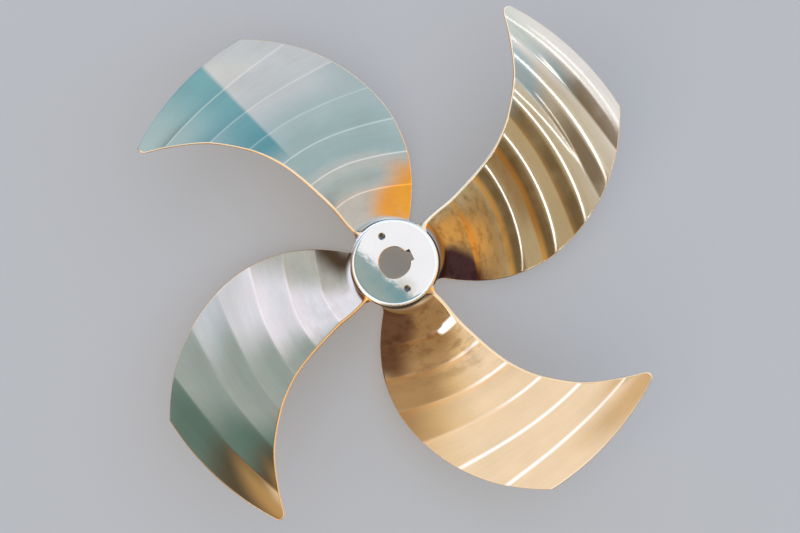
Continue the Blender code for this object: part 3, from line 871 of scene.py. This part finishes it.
def by_blade(wires, blade, amounts):
    """One amount for each blade, chosen by the number of the blade."""
    total = None
    for number, amount in enumerate(amounts):
        if amount:
            share = wires.math("MULTIPLY", wires.math("COMPARE", blade, float(number), 0.5), amount)
            total = share if total is None else wires.math("ADD", total, share)
    return total


def milled_bronze(effects, values, mill):
    """The pressure faces: milled in bands along the blade and polished over the marks, with light and shade painted on
    them for each blade.
    """
    material, wires = new_material("milled_bronze")
    place = wires.add("ShaderNodeTexCoord").outputs["Object"]
    station = wires.add("ShaderNodeAttribute", attribute_name="station").outputs["Fac"]
    along = wires.add("ShaderNodeAttribute", attribute_name="along").outputs["Fac"]
    blade = wires.add("ShaderNodeAttribute", attribute_name="blade").outputs["Fac"]
    line = wires.math("ADD", 0.040, wires.math("MULTIPLY", wires.math("GREATER_THAN", blade, 2.5), 0.042))
    band = use_group(wires, effects.band, {"Station": station, "First Ridge": mill.first_ridge, "Band Width": mill.band_width, "Line Width": line})
    cloudy = use_group(wires, effects.cloudy, {"Vector": place, "Scale": 11.0, "Contrast": 0.30})["Tone"]
    sheet = wires.add("ShaderNodeCombineXYZ", {0: wires.math("MULTIPLY", along, 0.35), 1: station, 2: wires.math("MULTIPLY", blade, 3.7)}).outputs[0]
    marks = use_group(wires, effects.brushed, {"Vector": sheet, "Fineness": 420.0, "Stretch": 0.03})["Height"]
    # painted cool reflection: a grey-blue tint over the whole face, full on the second blade, lighter on the third and
    # fourth
    painted_cool_sheen = by_blade(wires, blade, (0.0, 1.0, 0.35, 0.35))
    colour = wires.blend(painted_cool_sheen, tuple(values.bronze), tuple(a * b for a, b in zip(values.bronze, values.painted_cool_sheen)))
    # each blade has its own share of painted shade in the bands, painted gold reflection, a painted teal shadow with
    # blue-green patches, and painted highlights on the crests
    patchy = wires.smooth(wires.noise(place, 9.0, 4.0), 0.28, 0.56)
    # painted shade: the inner half of each band darker brown, most on the first blade
    painted_band_shade = wires.math("MULTIPLY", band["Inner"], by_blade(wires, blade, (0.90, 0.0, 0.06, 0.12)))
    painted_band_shade = wires.math("MULTIPLY", painted_band_shade, wires.math("ADD", 0.62, wires.math("MULTIPLY", patchy, 0.38)))
    painted_band_shade = wires.math("MULTIPLY", painted_band_shade, wires.smooth(station, 0.196, 0.214))
    outboard = wires.math("MULTIPLY", wires.smooth(station, 0.33, 0.44), wires.math("MULTIPLY", wires.smooth(along, 0.40, 0.80), 0.85))
    painted_band_shade = wires.math("MULTIPLY", painted_band_shade, wires.math("SUBTRACT", 1.0, outboard))
    outboard = wires.math("MULTIPLY", wires.smooth(station, 0.27, 0.33), wires.math("GREATER_THAN", blade, 2.5))
    painted_band_shade = wires.math("MULTIPLY", painted_band_shade, wires.math("SUBTRACT", 1.0, outboard))
    colour = wires.blend(painted_band_shade, colour, tuple(values.shade_and_blotch_brown))
    # painted gold reflection just past each ridge, most on the first blade, inboard only
    painted_gold = wires.math("MULTIPLY", band["Painted Gold"], by_blade(wires, blade, (0.85, 0.0, 0.0, 0.20)))
    painted_gold = wires.math("MULTIPLY", painted_gold, wires.math("SUBTRACT", 1.0, wires.smooth(station, 0.29, 0.35)))
    colour = wires.blend(painted_gold, colour, tuple(values.gold))
    parts = wires.add("ShaderNodeSeparateXYZ", {0: place}).outputs
    turn = wires.math("DEGREES", wires.math("ARCTAN2", parts[1], parts[0]))
    # painted teal shadow: past a straight line near 108 degrees, outboard on the second blade
    beyond = wires.math("MULTIPLY", wires.smooth(turn, 107.8, 109.2), wires.smooth(station, 0.25, 0.31))
    beyond = wires.math("MULTIPLY", beyond, wires.math("SUBTRACT", 1.0, wires.math("MULTIPLY", wires.smooth(turn, 111.0, 128.0), 0.45)))
    beyond = wires.math("MULTIPLY", beyond, by_blade(wires, blade, (0.0, 0.86, 0.0, 0.0)))
    patches = wires.math("MULTIPLY", band["Sheltered"], by_blade(wires, blade, (0.0, 0.06, 0.14, 0.0)))
    patches = wires.math("MULTIPLY", patches, wires.smooth(wires.noise(place, 11.0, 3.0), 0.20, 0.58))
    patches = wires.math("MULTIPLY", patches, wires.smooth(wires.math("ADD", station, wires.math("MULTIPLY", along, 0.09)), 0.165, 0.200))
    patina_and_teal_shadow = wires.math("MAXIMUM", beyond, patches)
    colour = wires.blend(patina_and_teal_shadow, colour, wires.blend(1.0, colour, tuple(values.patina_and_teal_shadow), "MULTIPLY"))
    further = wires.math("ADD", along, wires.math("MULTIPLY", wires.smooth(station, 0.34, 0.40), 0.9))
    late = wires.math("ADD", 0.12, wires.math("MULTIPLY", wires.smooth(further, 0.55, 0.85), 0.88))
    late = wires.math("MAXIMUM", late, wires.math("LESS_THAN", blade, 2.5))
    inboard = wires.math("SUBTRACT", 1.0, wires.math("MULTIPLY", wires.smooth(station, 0.24, 0.34), by_blade(wires, blade, (0.0, 0.62, 0.62, 0.0))))
    # painted highlight: a near-white line along each ridge, strongest on the fourth blade towards its trailing edge,
    # warmer on the other blades
    crest = wires.math("MULTIPLY", band["Ridge"], by_blade(wires, blade, (0.10, 0.60, 0.30, 1.0)))
    crest = wires.math("MULTIPLY", crest, wires.math("MULTIPLY", late, inboard))
    painted_highlight = wires.blend(wires.math("GREATER_THAN", blade, 2.5), (1.0, 0.80, 0.56, 1.0), tuple(values.crest))
    colour = wires.blend(crest, colour, painted_highlight)
    # painted shade darkens the fillets where the blades meet the hub, most on the first blade, and dark brown blotches
    # lie near the hub
    foot = wires.math("SUBTRACT", 1.0, wires.smooth(station, 0.090, 0.104))
    foot = wires.math("MULTIPLY", foot, by_blade(wires, blade, (0.88, 0.0, 0.15, 0.50)))
    drawn = wires.add("ShaderNodeCombineXYZ", {0: wires.math("MULTIPLY", along, 0.10), 1: station, 2: blade}).outputs[0]
    blotches = wires.smooth(wires.noise(drawn, 55.0, 4.0, 0.6), 0.44, 0.70)
    blotches = wires.math("MULTIPLY", blotches, wires.math("SUBTRACT", 1.0, wires.smooth(wires.math("SUBTRACT", station, wires.math("MULTIPLY", along, 0.06)), 0.13, 0.26)))
    blotches = wires.math("MULTIPLY", blotches, by_blade(wires, blade, (0.55, 0.10, 0.15, 0.55)))
    colour = wires.blend(wires.math("MAXIMUM", foot, blotches), colour, tuple(values.shade_and_blotch_brown))
    streaks = wires.math("ADD", 0.87, wires.math("MULTIPLY", marks, 0.26))
    colour = tinted(wires, colour, wires.math("MULTIPLY", cloudy, streaks))
    roughness = wires.math("ADD", 0.018, wires.math("MULTIPLY", marks, 0.032))
    roughness = wires.math("ADD", roughness, wires.math("MULTIPLY", crest, 0.10))
    bump = wires.add("ShaderNodeBump", {"Strength": 0.05, "Distance": 0.0004, "Height": marks}).outputs[0]
    finish_shader(wires, colour, roughness, bump)
    return material


def brushed_bronze(name, effects, bronze, smoothness, orange_reflection=(0.0, 0.0, 0.0, 0.0)):
    """The blades' edges and the faces that look forward: ground by hand and brushed. A painted orange reflection can be
    laid on each blade's edges in its own share.
    """
    material, wires = new_material(name)
    place = wires.add("ShaderNodeTexCoord").outputs["Object"]
    cloudy = use_group(wires, effects.cloudy, {"Vector": place, "Scale": 14.0, "Contrast": 0.35})["Tone"]
    marks = use_group(wires, effects.brushed, {"Vector": place, "Fineness": 260.0, "Stretch": 0.12})["Height"]
    colour = tinted(wires, tuple(bronze), cloudy)
    if any(orange_reflection):
        blade = wires.add("ShaderNodeAttribute", attribute_name="blade").outputs["Fac"]
        # painted orange reflection on the blades' edges, a share for each blade
        colour = wires.blend(by_blade(wires, blade, orange_reflection), colour, (0.90, 0.50, 0.18, 1.0))
    roughness = wires.math("ADD", smoothness, wires.math("MULTIPLY", marks, 0.16))
    bump = wires.add("ShaderNodeBump", {"Strength": 0.05, "Distance": 0.0005, "Height": marks}).outputs[0]
    finish_shader(wires, colour, roughness, bump)
    return material


def turned_bronze(name, effects, bronze, fineness, smoothness, strength, waviness):
    """A surface turned on a lathe, with rings about the axis, not quite flat after polishing."""
    material, wires = new_material(name)
    place = wires.add("ShaderNodeTexCoord").outputs["Object"]
    parts = wires.add("ShaderNodeSeparateXYZ", {0: place}).outputs
    flat = wires.add("ShaderNodeCombineXYZ", {0: parts[0], 1: parts[1]}).outputs[0]
    radius = wires.vector("LENGTH", flat)
    turn = wires.math("ARCTAN2", parts[1], parts[0])
    sheet = wires.add("ShaderNodeCombineXYZ", {0: wires.math("MULTIPLY", turn, 0.05), 1: wires.math("ADD", radius, parts[2])}).outputs[0]
    marks = use_group(wires, effects.brushed, {"Vector": sheet, "Fineness": fineness, "Stretch": 0.2})["Height"]
    cloudy = use_group(wires, effects.cloudy, {"Vector": place, "Scale": 20.0, "Contrast": 0.12})["Tone"]
    colour = tinted(wires, tuple(bronze), cloudy)
    roughness = wires.math("MULTIPLY", smoothness, wires.math("ADD", 0.6, wires.math("MULTIPLY", marks, 0.8)))
    waves = wires.noise(place, 45.0, 2.0)
    wavy = wires.add("ShaderNodeBump", {"Strength": waviness, "Distance": 0.0003, "Height": waves}).outputs[0]
    bump = wires.add("ShaderNodeBump", {"Strength": strength, "Distance": 0.0003, "Height": marks, "Normal": wavy}).outputs[0]
    finish_shader(wires, colour, roughness, bump)
    return material


def bored_bronze(effects, values, casting):
    """The bore, the keyway and the threads, with painted shade that darkens them away from the bore's mouths and down
    the puller holes, where the colour also turns a dusty grey.
    """
    material, wires = new_material("bored_bronze")
    place = wires.add("ShaderNodeTexCoord").outputs["Object"]
    parts = wires.add("ShaderNodeSeparateXYZ", {0: place}).outputs
    cloudy = use_group(wires, effects.cloudy, {"Vector": place, "Scale": 30.0, "Contrast": 0.3})["Tone"]
    depth = wires.math("SUBTRACT", casting.hub_length, parts[2])
    nearest = wires.math("MINIMUM", depth, parts[2])
    # painted shade: darker the further from either mouth of the bore
    shade = wires.math("SUBTRACT", 1.0, wires.math("MULTIPLY", wires.smooth(nearest, 0.001, 0.050), 0.72))
    flat = wires.add("ShaderNodeCombineXYZ", {0: parts[0], 1: wires.math("ABSOLUTE", parts[1]), 2: 0.0}).outputs[0]
    away = wires.vector("LENGTH", wires.vector("SUBTRACT", flat, (0.0, casting.puller_circle, 0.0)))
    hole = wires.math("MULTIPLY", wires.math("LESS_THAN", away, casting.puller_radius * 1.3), wires.smooth(depth, 0.0, 0.003))
    # painted shade: darker still down the puller holes
    shade = wires.math("MULTIPLY", shade, wires.math("SUBTRACT", 1.0, wires.math("MULTIPLY", hole, 0.50)))
    dusty = wires.blend(hole, tuple(values.ground), (0.55, 0.54, 0.50, 1.0))
    colour = tinted(wires, dusty, wires.math("MULTIPLY", cloudy, shade))
    marks = use_group(wires, effects.brushed, {"Vector": place, "Fineness": 500.0, "Stretch": 1.0})["Height"]
    roughness = wires.math("ADD", 0.22, wires.math("MULTIPLY", marks, 0.12))
    finish_shader(wires, colour, roughness)
    return material


def floor_paint(values):
    material, wires = new_material("studio_floor")
    place = wires.add("ShaderNodeTexCoord").outputs["Object"]
    tone = wires.noise(place, 3.0, 2.0)
    colour = tinted(wires, tuple(values.floor), wires.math("ADD", 0.985, wires.math("MULTIPLY", tone, 0.03)))
    shader, _ = finish_shader(wires, colour, 0.9, metallic=0.0)
    wires.set(shader, "Emission Color", tuple(values.glow))
    wires.set(shader, "Emission Strength", 1.0)
    return material


# The studio's light, which stands all round the object


def light_panel():
    """A soft panel of light between two azimuths and two angles from the zenith, in degrees.

    A panel that leans moves in azimuth as it comes down, and stands where it is named at 80 degrees.
    """
    inputs = [
        ("Azimuth", "NodeSocketFloat", 0.0),
        ("Zenith", "NodeSocketFloat", 0.0),
        ("Middle", "NodeSocketFloat", 0.0),
        ("Half Width", "NodeSocketFloat", 30.0),
        ("Side Softness", "NodeSocketFloat", 10.0),
        ("Top", "NodeSocketFloat", 30.0),
        ("Bottom", "NodeSocketFloat", 90.0),
        ("Edge Softness", "NodeSocketFloat", 10.0),
        ("Lean", "NodeSocketFloat", 0.0),
    ]
    tree, wires, given = new_group("Light Panel", "ShaderNodeTree", inputs, [("Mask", "NodeSocketFloat")])
    leaned = wires.math("MULTIPLY", wires.math("SUBTRACT", given["Zenith"], 80.0), given["Lean"])
    away = wires.math("SUBTRACT", wires.math("SUBTRACT", given["Azimuth"], given["Middle"]), leaned)
    away = wires.math("ABSOLUTE", wires.math("WRAP", away, 180.0, -180.0))
    inside = wires.math("SUBTRACT", 1.0, wires.smooth(away, wires.math("SUBTRACT", given["Half Width"], given["Side Softness"]), wires.math("ADD", given["Half Width"], given["Side Softness"])))
    under = wires.smooth(given["Zenith"], wires.math("SUBTRACT", given["Top"], given["Edge Softness"]), wires.math("ADD", given["Top"], given["Edge Softness"]))
    over = wires.math("SUBTRACT", 1.0, wires.smooth(given["Zenith"], wires.math("SUBTRACT", given["Bottom"], given["Edge Softness"]), wires.math("ADD", given["Bottom"], given["Edge Softness"])))
    mask = wires.math("MULTIPLY", inside, wires.math("MULTIPLY", under, over))
    wires.add("NodeGroupOutput", {"Mask": mask})
    return tree


def strip_lamp():
    """A thin lamp that runs round the studio at one angle from the zenith."""
    inputs = [
        ("Azimuth", "NodeSocketFloat", 0.0),
        ("Zenith", "NodeSocketFloat", 0.0),
        ("Middle", "NodeSocketFloat", 0.0),
        ("Half Width", "NodeSocketFloat", 30.0),
        ("Height", "NodeSocketFloat", 50.0),
        ("Thickness", "NodeSocketFloat", 0.5),
        ("Bend", "NodeSocketFloat", 0.0),
    ]
    tree, wires, given = new_group("Strip Lamp", "ShaderNodeTree", inputs, [("Mask", "NodeSocketFloat")])
    away = wires.math("WRAP", wires.math("SUBTRACT", given["Azimuth"], given["Middle"]), 180.0, -180.0)
    share = wires.math("DIVIDE", away, given["Half Width"])
    bent = wires.math("MULTIPLY", wires.math("MULTIPLY", share, share), given["Bend"])
    off = wires.math("ABSOLUTE", wires.math("ADD", wires.math("SUBTRACT", given["Zenith"], given["Height"]), bent))
    thin = wires.math("SUBTRACT", 1.0, wires.smooth(off, wires.math("MULTIPLY", given["Thickness"], 0.4), wires.math("MULTIPLY", given["Thickness"], 1.6)))
    ends = wires.math("SUBTRACT", 1.0, wires.smooth(wires.math("ABSOLUTE", away), wires.math("SUBTRACT", given["Half Width"], 4.0), given["Half Width"]))
    wires.add("NodeGroupOutput", {"Mask": wires.math("MULTIPLY", thin, ends)})
    return tree


# Each panel: middle azimuth, half width, side softness, top, bottom, edge softness, lean, colour
PANELS = (
    # beside the first blade: dim and olive, gold lower down, dark at its foot, daylight round its tip
    (-60.0, 46.0, 8.0, 20.0, 150.0, 8.0, 0.0, (0.52, 0.50, 0.41)),
    (-50.0, 34.0, 8.0, 36.0, 45.0, 3.0, 0.0, (0.68, 0.75, 0.86)),
    (-14.0, 11.0, 5.0, 36.0, 50.0, 3.0, 0.0, (0.46, 0.74, 1.20)),
    (-40.0, 32.0, 6.0, 20.0, 37.8, 1.5, 0.0, (0.94, 1.15, 1.70)),
    (-46.0, 24.0, 10.0, 57.0, 65.0, 3.0, 0.0, (0.36, 0.28, 0.18)),
    (-74.0, 29.0, 8.0, 74.0, 150.0, 5.0, 0.0, (0.45, 0.34, 0.20)),
    (-72.0, 12.0, 9.0, 82.0, 150.0, 5.0, 0.55, (0.76, 0.48, 0.18)),
    (-113.0, 18.0, 6.0, 84.0, 150.0, 4.0, 0.80, (0.07, 0.04, 0.06)),
    # beside the second blade: cool daylight in broad layers, with an orange glow low down
    (34.0, 48.0, 8.0, 20.0, 150.0, 8.0, 0.0, (0.76, 1.06, 1.56)),
    (50.0, 21.0, 8.0, 20.0, 49.0, 5.0, 0.0, (1.08, 1.25, 1.82)),
    (30.0, 24.0, 9.0, 56.0, 73.0, 4.0, 0.0, (0.66, 0.98, 1.40)),
    (34.0, 30.0, 8.0, 73.0, 82.0, 3.0, 0.0, (0.90, 1.08, 1.47)),
    (40.0, 23.0, 8.0, 82.0, 92.0, 3.0, 0.0, (0.78, 0.97, 1.28)),
    (36.0, 26.0, 9.0, 92.0, 150.0, 3.0, 0.0, (1.02, 1.06, 1.32)),
    (-12.0, 16.0, 12.0, 77.0, 127.0, 5.0, 0.69, (1.52, 0.74, 0.18)),
    (-14.0, 15.0, 6.0, 88.0, 127.0, 6.0, 0.0, (1.60, 0.80, 0.15)),
    # beside the third blade: a white window that leans, grey beside it, teal and then dark above it
    (124.0, 44.0, 8.0, 20.0, 150.0, 8.0, 0.0, (0.47, 0.65, 0.88)),
    (76.0, 20.0, 6.0, 20.0, 43.0, 4.0, 0.0, (1.25, 1.40, 1.90)),
    (100.0, 30.0, 9.0, 62.0, 150.0, 10.0, 0.0, (0.64, 0.78, 1.05)),
    (108.0, 14.0, 9.0, 45.0, 56.0, 5.0, 0.0, (0.86, 1.08, 1.70)),
    (120.0, 16.0, 9.0, 56.0, 150.0, 5.0, 0.50, (1.15, 1.35, 2.15)),
    (252.0, 32.0, 9.0, 20.0, 55.0, 4.0, 2.20, (0.17, 0.31, 0.37)),
    (228.0, 22.0, 6.0, 20.0, 52.0, 4.0, 1.40, (0.14, 0.13, 0.11)),
    (168.0, 9.0, 5.0, 20.0, 43.0, 3.0, 0.0, (0.66, 0.45, 0.24)),
    (170.0, 9.0, 5.0, 20.0, 36.2, 1.2, 0.0, (0.26, 0.17, 0.10)),
    (60.0, 14.0, 12.0, 89.0, 150.0, 6.0, 0.90, (0.10, 0.08, 0.07)),
    # beside the fourth blade: a broad white panel above, gold, brown and then dark below
    (211.0, 39.0, 4.0, 20.0, 150.0, 8.0, 0.0, (1.24, 1.16, 1.14)),
    (222.0, 42.0, 5.0, 20.0, 50.0, 4.0, 0.0, (1.24, 1.17, 1.18)),
    (252.0, 12.0, 9.0, 20.0, 39.0, 3.0, 0.0, (0.90, 0.72, 0.54)),
    (212.0, 12.0, 10.0, 34.0, 150.0, 8.0, 0.70, (1.03, 0.84, 0.60)),
    (194.0, 19.0, 8.0, 51.0, 150.0, 4.0, 0.70, (0.58, 0.42, 0.27)),
    (196.0, 24.0, 8.0, 84.0, 150.0, 4.0, 0.20, (0.46, 0.31, 0.18)),
    (167.0, 19.0, 7.0, 76.0, 150.0, 4.0, 0.35, (0.19, 0.11, 0.08)),
)

# Each strip: middle azimuth, half width, angle from the zenith, thickness, bend towards its ends
STRIPS = (
    (-66.0, 38.0, 66.8, 0.22, 2.6),
    (-60.0, 36.0, 54.8, 0.18, 1.8),
    (-52.0, 36.0, 46.4, 0.14, 1.2),
    (-38.0, 17.0, 44.2, 0.08, 0.3),
    (-46.0, 34.0, 40.6, 0.14, 0.8),
    (-36.0, 34.0, 36.6, 0.05, 0.0),
    (-44.0, 30.0, 35.6, 0.03, 0.0),
    (224.0, 9.0, 94.6, 2.6, 0.0),
)


def studio_light(values):
    world = bpy.data.worlds.new("studio_light")
    world.use_nodes = True
    wires = Wiring(world.node_tree)
    panel, strip = light_panel(), strip_lamp()
    towards = wires.vector("NORMALIZE", wires.add("ShaderNodeTexCoord").outputs["Generated"])
    parts = wires.add("ShaderNodeSeparateXYZ", {0: towards}).outputs
    azimuth = wires.math("DEGREES", wires.math("ADD", wires.math("ARCTAN2", parts[1], parts[0]), values.image_turn))
    zenith = wires.math("DEGREES", wires.math("ARCCOSINE", parts[2]))
    light = (0.55, 0.48, 0.38, 1.0)
    for middle, half, side, top, bottom, edge, lean, colour in PANELS:
        mask = use_group(wires, panel, {"Azimuth": azimuth, "Zenith": zenith, "Middle": middle, "Half Width": half, "Side Softness": side, "Top": top, "Bottom": bottom, "Edge Softness": edge, "Lean": lean})["Mask"]
        light = wires.blend(mask, light, (*colour, 1.0))
    for middle, half, height, thickness, bend in STRIPS:
        mask = use_group(wires, strip, {"Azimuth": azimuth, "Zenith": zenith, "Middle": middle, "Half Width": half, "Height": height, "Thickness": thickness, "Bend": bend})["Mask"]
        light = wires.blend(mask, light, (3.4, 4.2, 5.9, 1.0))
    across = wires.math("ADD", wires.math("MULTIPLY", parts[0], math.cos(math.radians(21.7))), wires.math("MULTIPLY", parts[1], math.sin(math.radians(21.7))))
    under = wires.smooth(zenith, 140.0, 165.0)
    light = wires.blend(under, light, (0.05, 0.04, 0.035, 1.0))
    ring = wires.math("SUBTRACT", 1.0, wires.smooth(zenith, 26.0, 31.0))
    light = wires.blend(ring, light, (1.10, 1.20, 1.50, 1.0))
    overhead = wires.math("SUBTRACT", 1.0, wires.smooth(zenith, 5.0, 8.0))
    jagged = wires.math("MULTIPLY", wires.math("SUBTRACT", wires.noise(towards, 190.0, 2.0), 0.5), 0.006)
    split = wires.smooth(wires.math("ADD", across, jagged), -0.0016, -0.0004)
    flat = wires.add("ShaderNodeCombineXYZ", {0: parts[0], 1: parts[1]}).outputs[0]
    shadow = wires.vector("LENGTH", wires.vector("SUBTRACT", flat, (-0.0067, 0.0135, 0.0)))
    shadow = wires.math("MULTIPLY", wires.math("SUBTRACT", 1.0, wires.smooth(shadow, 0.003, 0.012)), 0.8)
    white = wires.blend(shadow, (1.09, 1.39, 2.20, 1.0), (0.72, 0.92, 1.25, 1.0))
    cloudy = wires.smooth(wires.noise(towards, 60.0, 3.0), 0.35, 0.65)
    teal = wires.blend(cloudy, (0.22, 0.50, 0.82, 1.0), (0.38, 0.60, 0.86, 1.0))
    lid = wires.blend(split, teal, white)
    light = wires.blend(overhead, light, lid)
    lit = wires.add("ShaderNodeBackground", {"Color": light, "Strength": values.strength})
    plain = wires.add("ShaderNodeBackground", {"Color": (0.55, 0.55, 0.56, 1.0), "Strength": 1.0})
    seen = wires.add("ShaderNodeLightPath").outputs["Is Camera Ray"]
    shown = wires.add("ShaderNodeMixShader", {0: seen, 1: lit.outputs[0], 2: plain.outputs[0]})
    wires.add("ShaderNodeOutputWorld", {"Surface": shown.outputs[0]})
    bpy.context.scene.world = world


def studio_floor(values):
    steps = 96
    points = circle(values.floor_radius, 0.0, steps)
    mesh = bpy.data.meshes.new("floor")
    mesh.from_pydata(points.tolist(), [], [tuple(range(steps))])
    mesh.materials.append(floor_paint(values))
    thing = bpy.data.objects.new("floor", mesh)
    thing.visible_glossy = False
    bpy.context.scene.collection.objects.link(thing)


def studio_camera(values):
    """The camera looks down the shaft's axis from aft, with the keyway turned as in the photograph."""
    data = bpy.data.cameras.new("camera")
    data.lens = values.lens
    data.sensor_width = 36.0
    data.clip_end = 50.0
    camera = bpy.data.objects.new("camera", data)
    bpy.context.scene.collection.objects.link(camera)
    eye, aim = Vector(CAMERA_PLACE), Vector(CAMERA_AIM)
    back = (eye - aim).normalized()
    turn = math.pi / 2 - values.image_turn
    right = Vector((math.cos(turn), math.sin(turn), 0.0)).cross(back).normalized()
    up = back.cross(right)
    camera.matrix_world = Matrix.Translation(eye) @ Matrix((right, up, back)).transposed().to_4x4()
    bpy.context.scene.camera = camera


class MakeFinishes(bpy.types.Operator):
    """Makes the bronze finishes."""

    bl_idname = "propeller.make_finishes"
    bl_label = "Make Finishes"

    def execute(self, context):
        values, mill = context.scene.propeller_finish, context.scene.propeller_milling
        effects = Effects()
        milled_bronze(effects, values, mill)
        brushed_bronze("ground_bronze", effects, values.bronze, 0.14)
        # the edges carry a painted orange reflection, most on the third blade
        brushed_bronze("edge_bronze", effects, values.edge, 0.20, (0.0, 0.45, 0.90, 0.30))
        turned_bronze("barrel_bronze", effects, values.bronze, 700.0, 0.17, 0.08, 0.20)
        turned_bronze("rim_bronze", effects, values.rim, 700.0, 0.24, 0.04, 0.10)
        bored_bronze(effects, values, context.scene.propeller_casting)
        turned_bronze("turned_bronze", effects, values.bronze, 900.0, 0.02, 0.008, 0.06)
        return {"FINISHED"}


class CastPropeller(bpy.types.Operator):
    """Builds the casting: blades, fillets, barrel, faces, bore, keyway and tapped holes in one skin."""

    bl_idname = "propeller.cast"
    bl_label = "Cast Propeller"

    def execute(self, context):
        casting, mill = context.scene.propeller_casting, context.scene.propeller_milling
        finishes = [bpy.data.materials[name] for name in FINISH_NAMES]
        skin = Skin()
        root = add_blade(skin, casting, mill)
        aft_start, forward_start = add_barrel(skin, casting, mill, root)
        part = skin.thing("blade_and_barrel", finishes)
        with_tree(part, bands_tree(), {"First Ridge": mill.first_ridge, "Band Width": mill.band_width, "Depth": mill.depth, "Root Radius": casting.hub_waist})
        hole = puller_hole(casting)
        with_tree(hole, thread_tree(), {"Pitch": casting.thread_pitch, "Depth": casting.thread_depth, "Mouth": casting.hub_length, "Length": casting.puller_depth})
        wall = settled(hole, "tapped_hole")
        points = np.empty(len(wall.vertices) * 3, dtype=np.float32)
        wall.vertices.foreach_get("co", points)
        points = points.reshape(-1, 3).astype(float)
        faces = [tuple(face.vertices) for face in wall.polygons]
        inner = Skin()
        add_core(inner, casting, mill, aft_start, forward_start)
        for x, y in puller_centres(casting):
            inner.add(points + np.array((x, y, 0.0)), faces, BORE)
        core = inner.thing("core", finishes)
        values = {"Core": core, "Blades": casting.blades, "Weld": WELD}
        values.update({finish.name: finish for finish in finishes})
        with_tree(part, casting_tree(finishes), values)
        mesh = settled(part, "propeller_casting")
        mesh.set_sharp_from_angle(angle=SHARP_ANGLE)
        for used in (part, hole, core):
            remove(used)
        bpy.data.meshes.remove(wall)
        piece = bpy.data.objects.new("propeller_casting", mesh)
        piece.visible_glossy = False
        context.scene.collection.objects.link(piece)
        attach(piece, "root")
        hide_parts("propeller")
        return {"FINISHED"}


class SetStage(bpy.types.Operator):
    """Sets the floor, the light and the camera."""

    bl_idname = "propeller.set_stage"
    bl_label = "Set Stage"

    def execute(self, context):
        values = context.scene.propeller_studio
        studio_floor(values)
        studio_light(values)
        studio_camera(values)
        context.scene.view_settings.view_transform = "Standard"
        return {"FINISHED"}


class PropellerPanel(bpy.types.Panel):
    """Lists the steps that build the propeller, with their sizes and colours."""

    bl_idname = "VIEW3D_PT_propeller"
    bl_label = "Ship Propeller"
    bl_space_type = "VIEW_3D"
    bl_region_type = "UI"
    bl_category = "Propeller"

    def draw(self, context):
        layout = self.layout
        for step in STEPS:
            layout.operator(step.bl_idname)
        for name in GROUPS:
            values = getattr(context.scene, name)
            box = layout.box()
            for key in values.bl_rna.properties.keys():
                if key not in ("rna_type", "name"):
                    box.prop(values, key)


CAMERA_PLACE = (0.01057, -0.09074, 3.13858)
CAMERA_AIM = (0.00589, -0.01068, 0.21)

GROUPS = {
    "propeller_casting": CastingSizes,
    "propeller_milling": MillingSizes,
    "propeller_finish": FinishValues,
    "propeller_studio": StudioValues,
}
STEPS = (MakeFinishes, CastPropeller, SetStage)
CLASSES = (*GROUPS.values(), *STEPS, PropellerPanel)


def register():
    for item in CLASSES:
        bpy.utils.register_class(item)
    for name, group in GROUPS.items():
        setattr(bpy.types.Scene, name, PointerProperty(type=group))


def unregister():
    for name in GROUPS:
        delattr(bpy.types.Scene, name)
    for item in reversed(CLASSES):
        bpy.utils.unregister_class(item)


def main():
    register()
    bpy.ops.propeller.make_finishes()
    bpy.ops.propeller.cast()
    bpy.ops.propeller.set_stage()


if __name__ == "__main__":
    main()
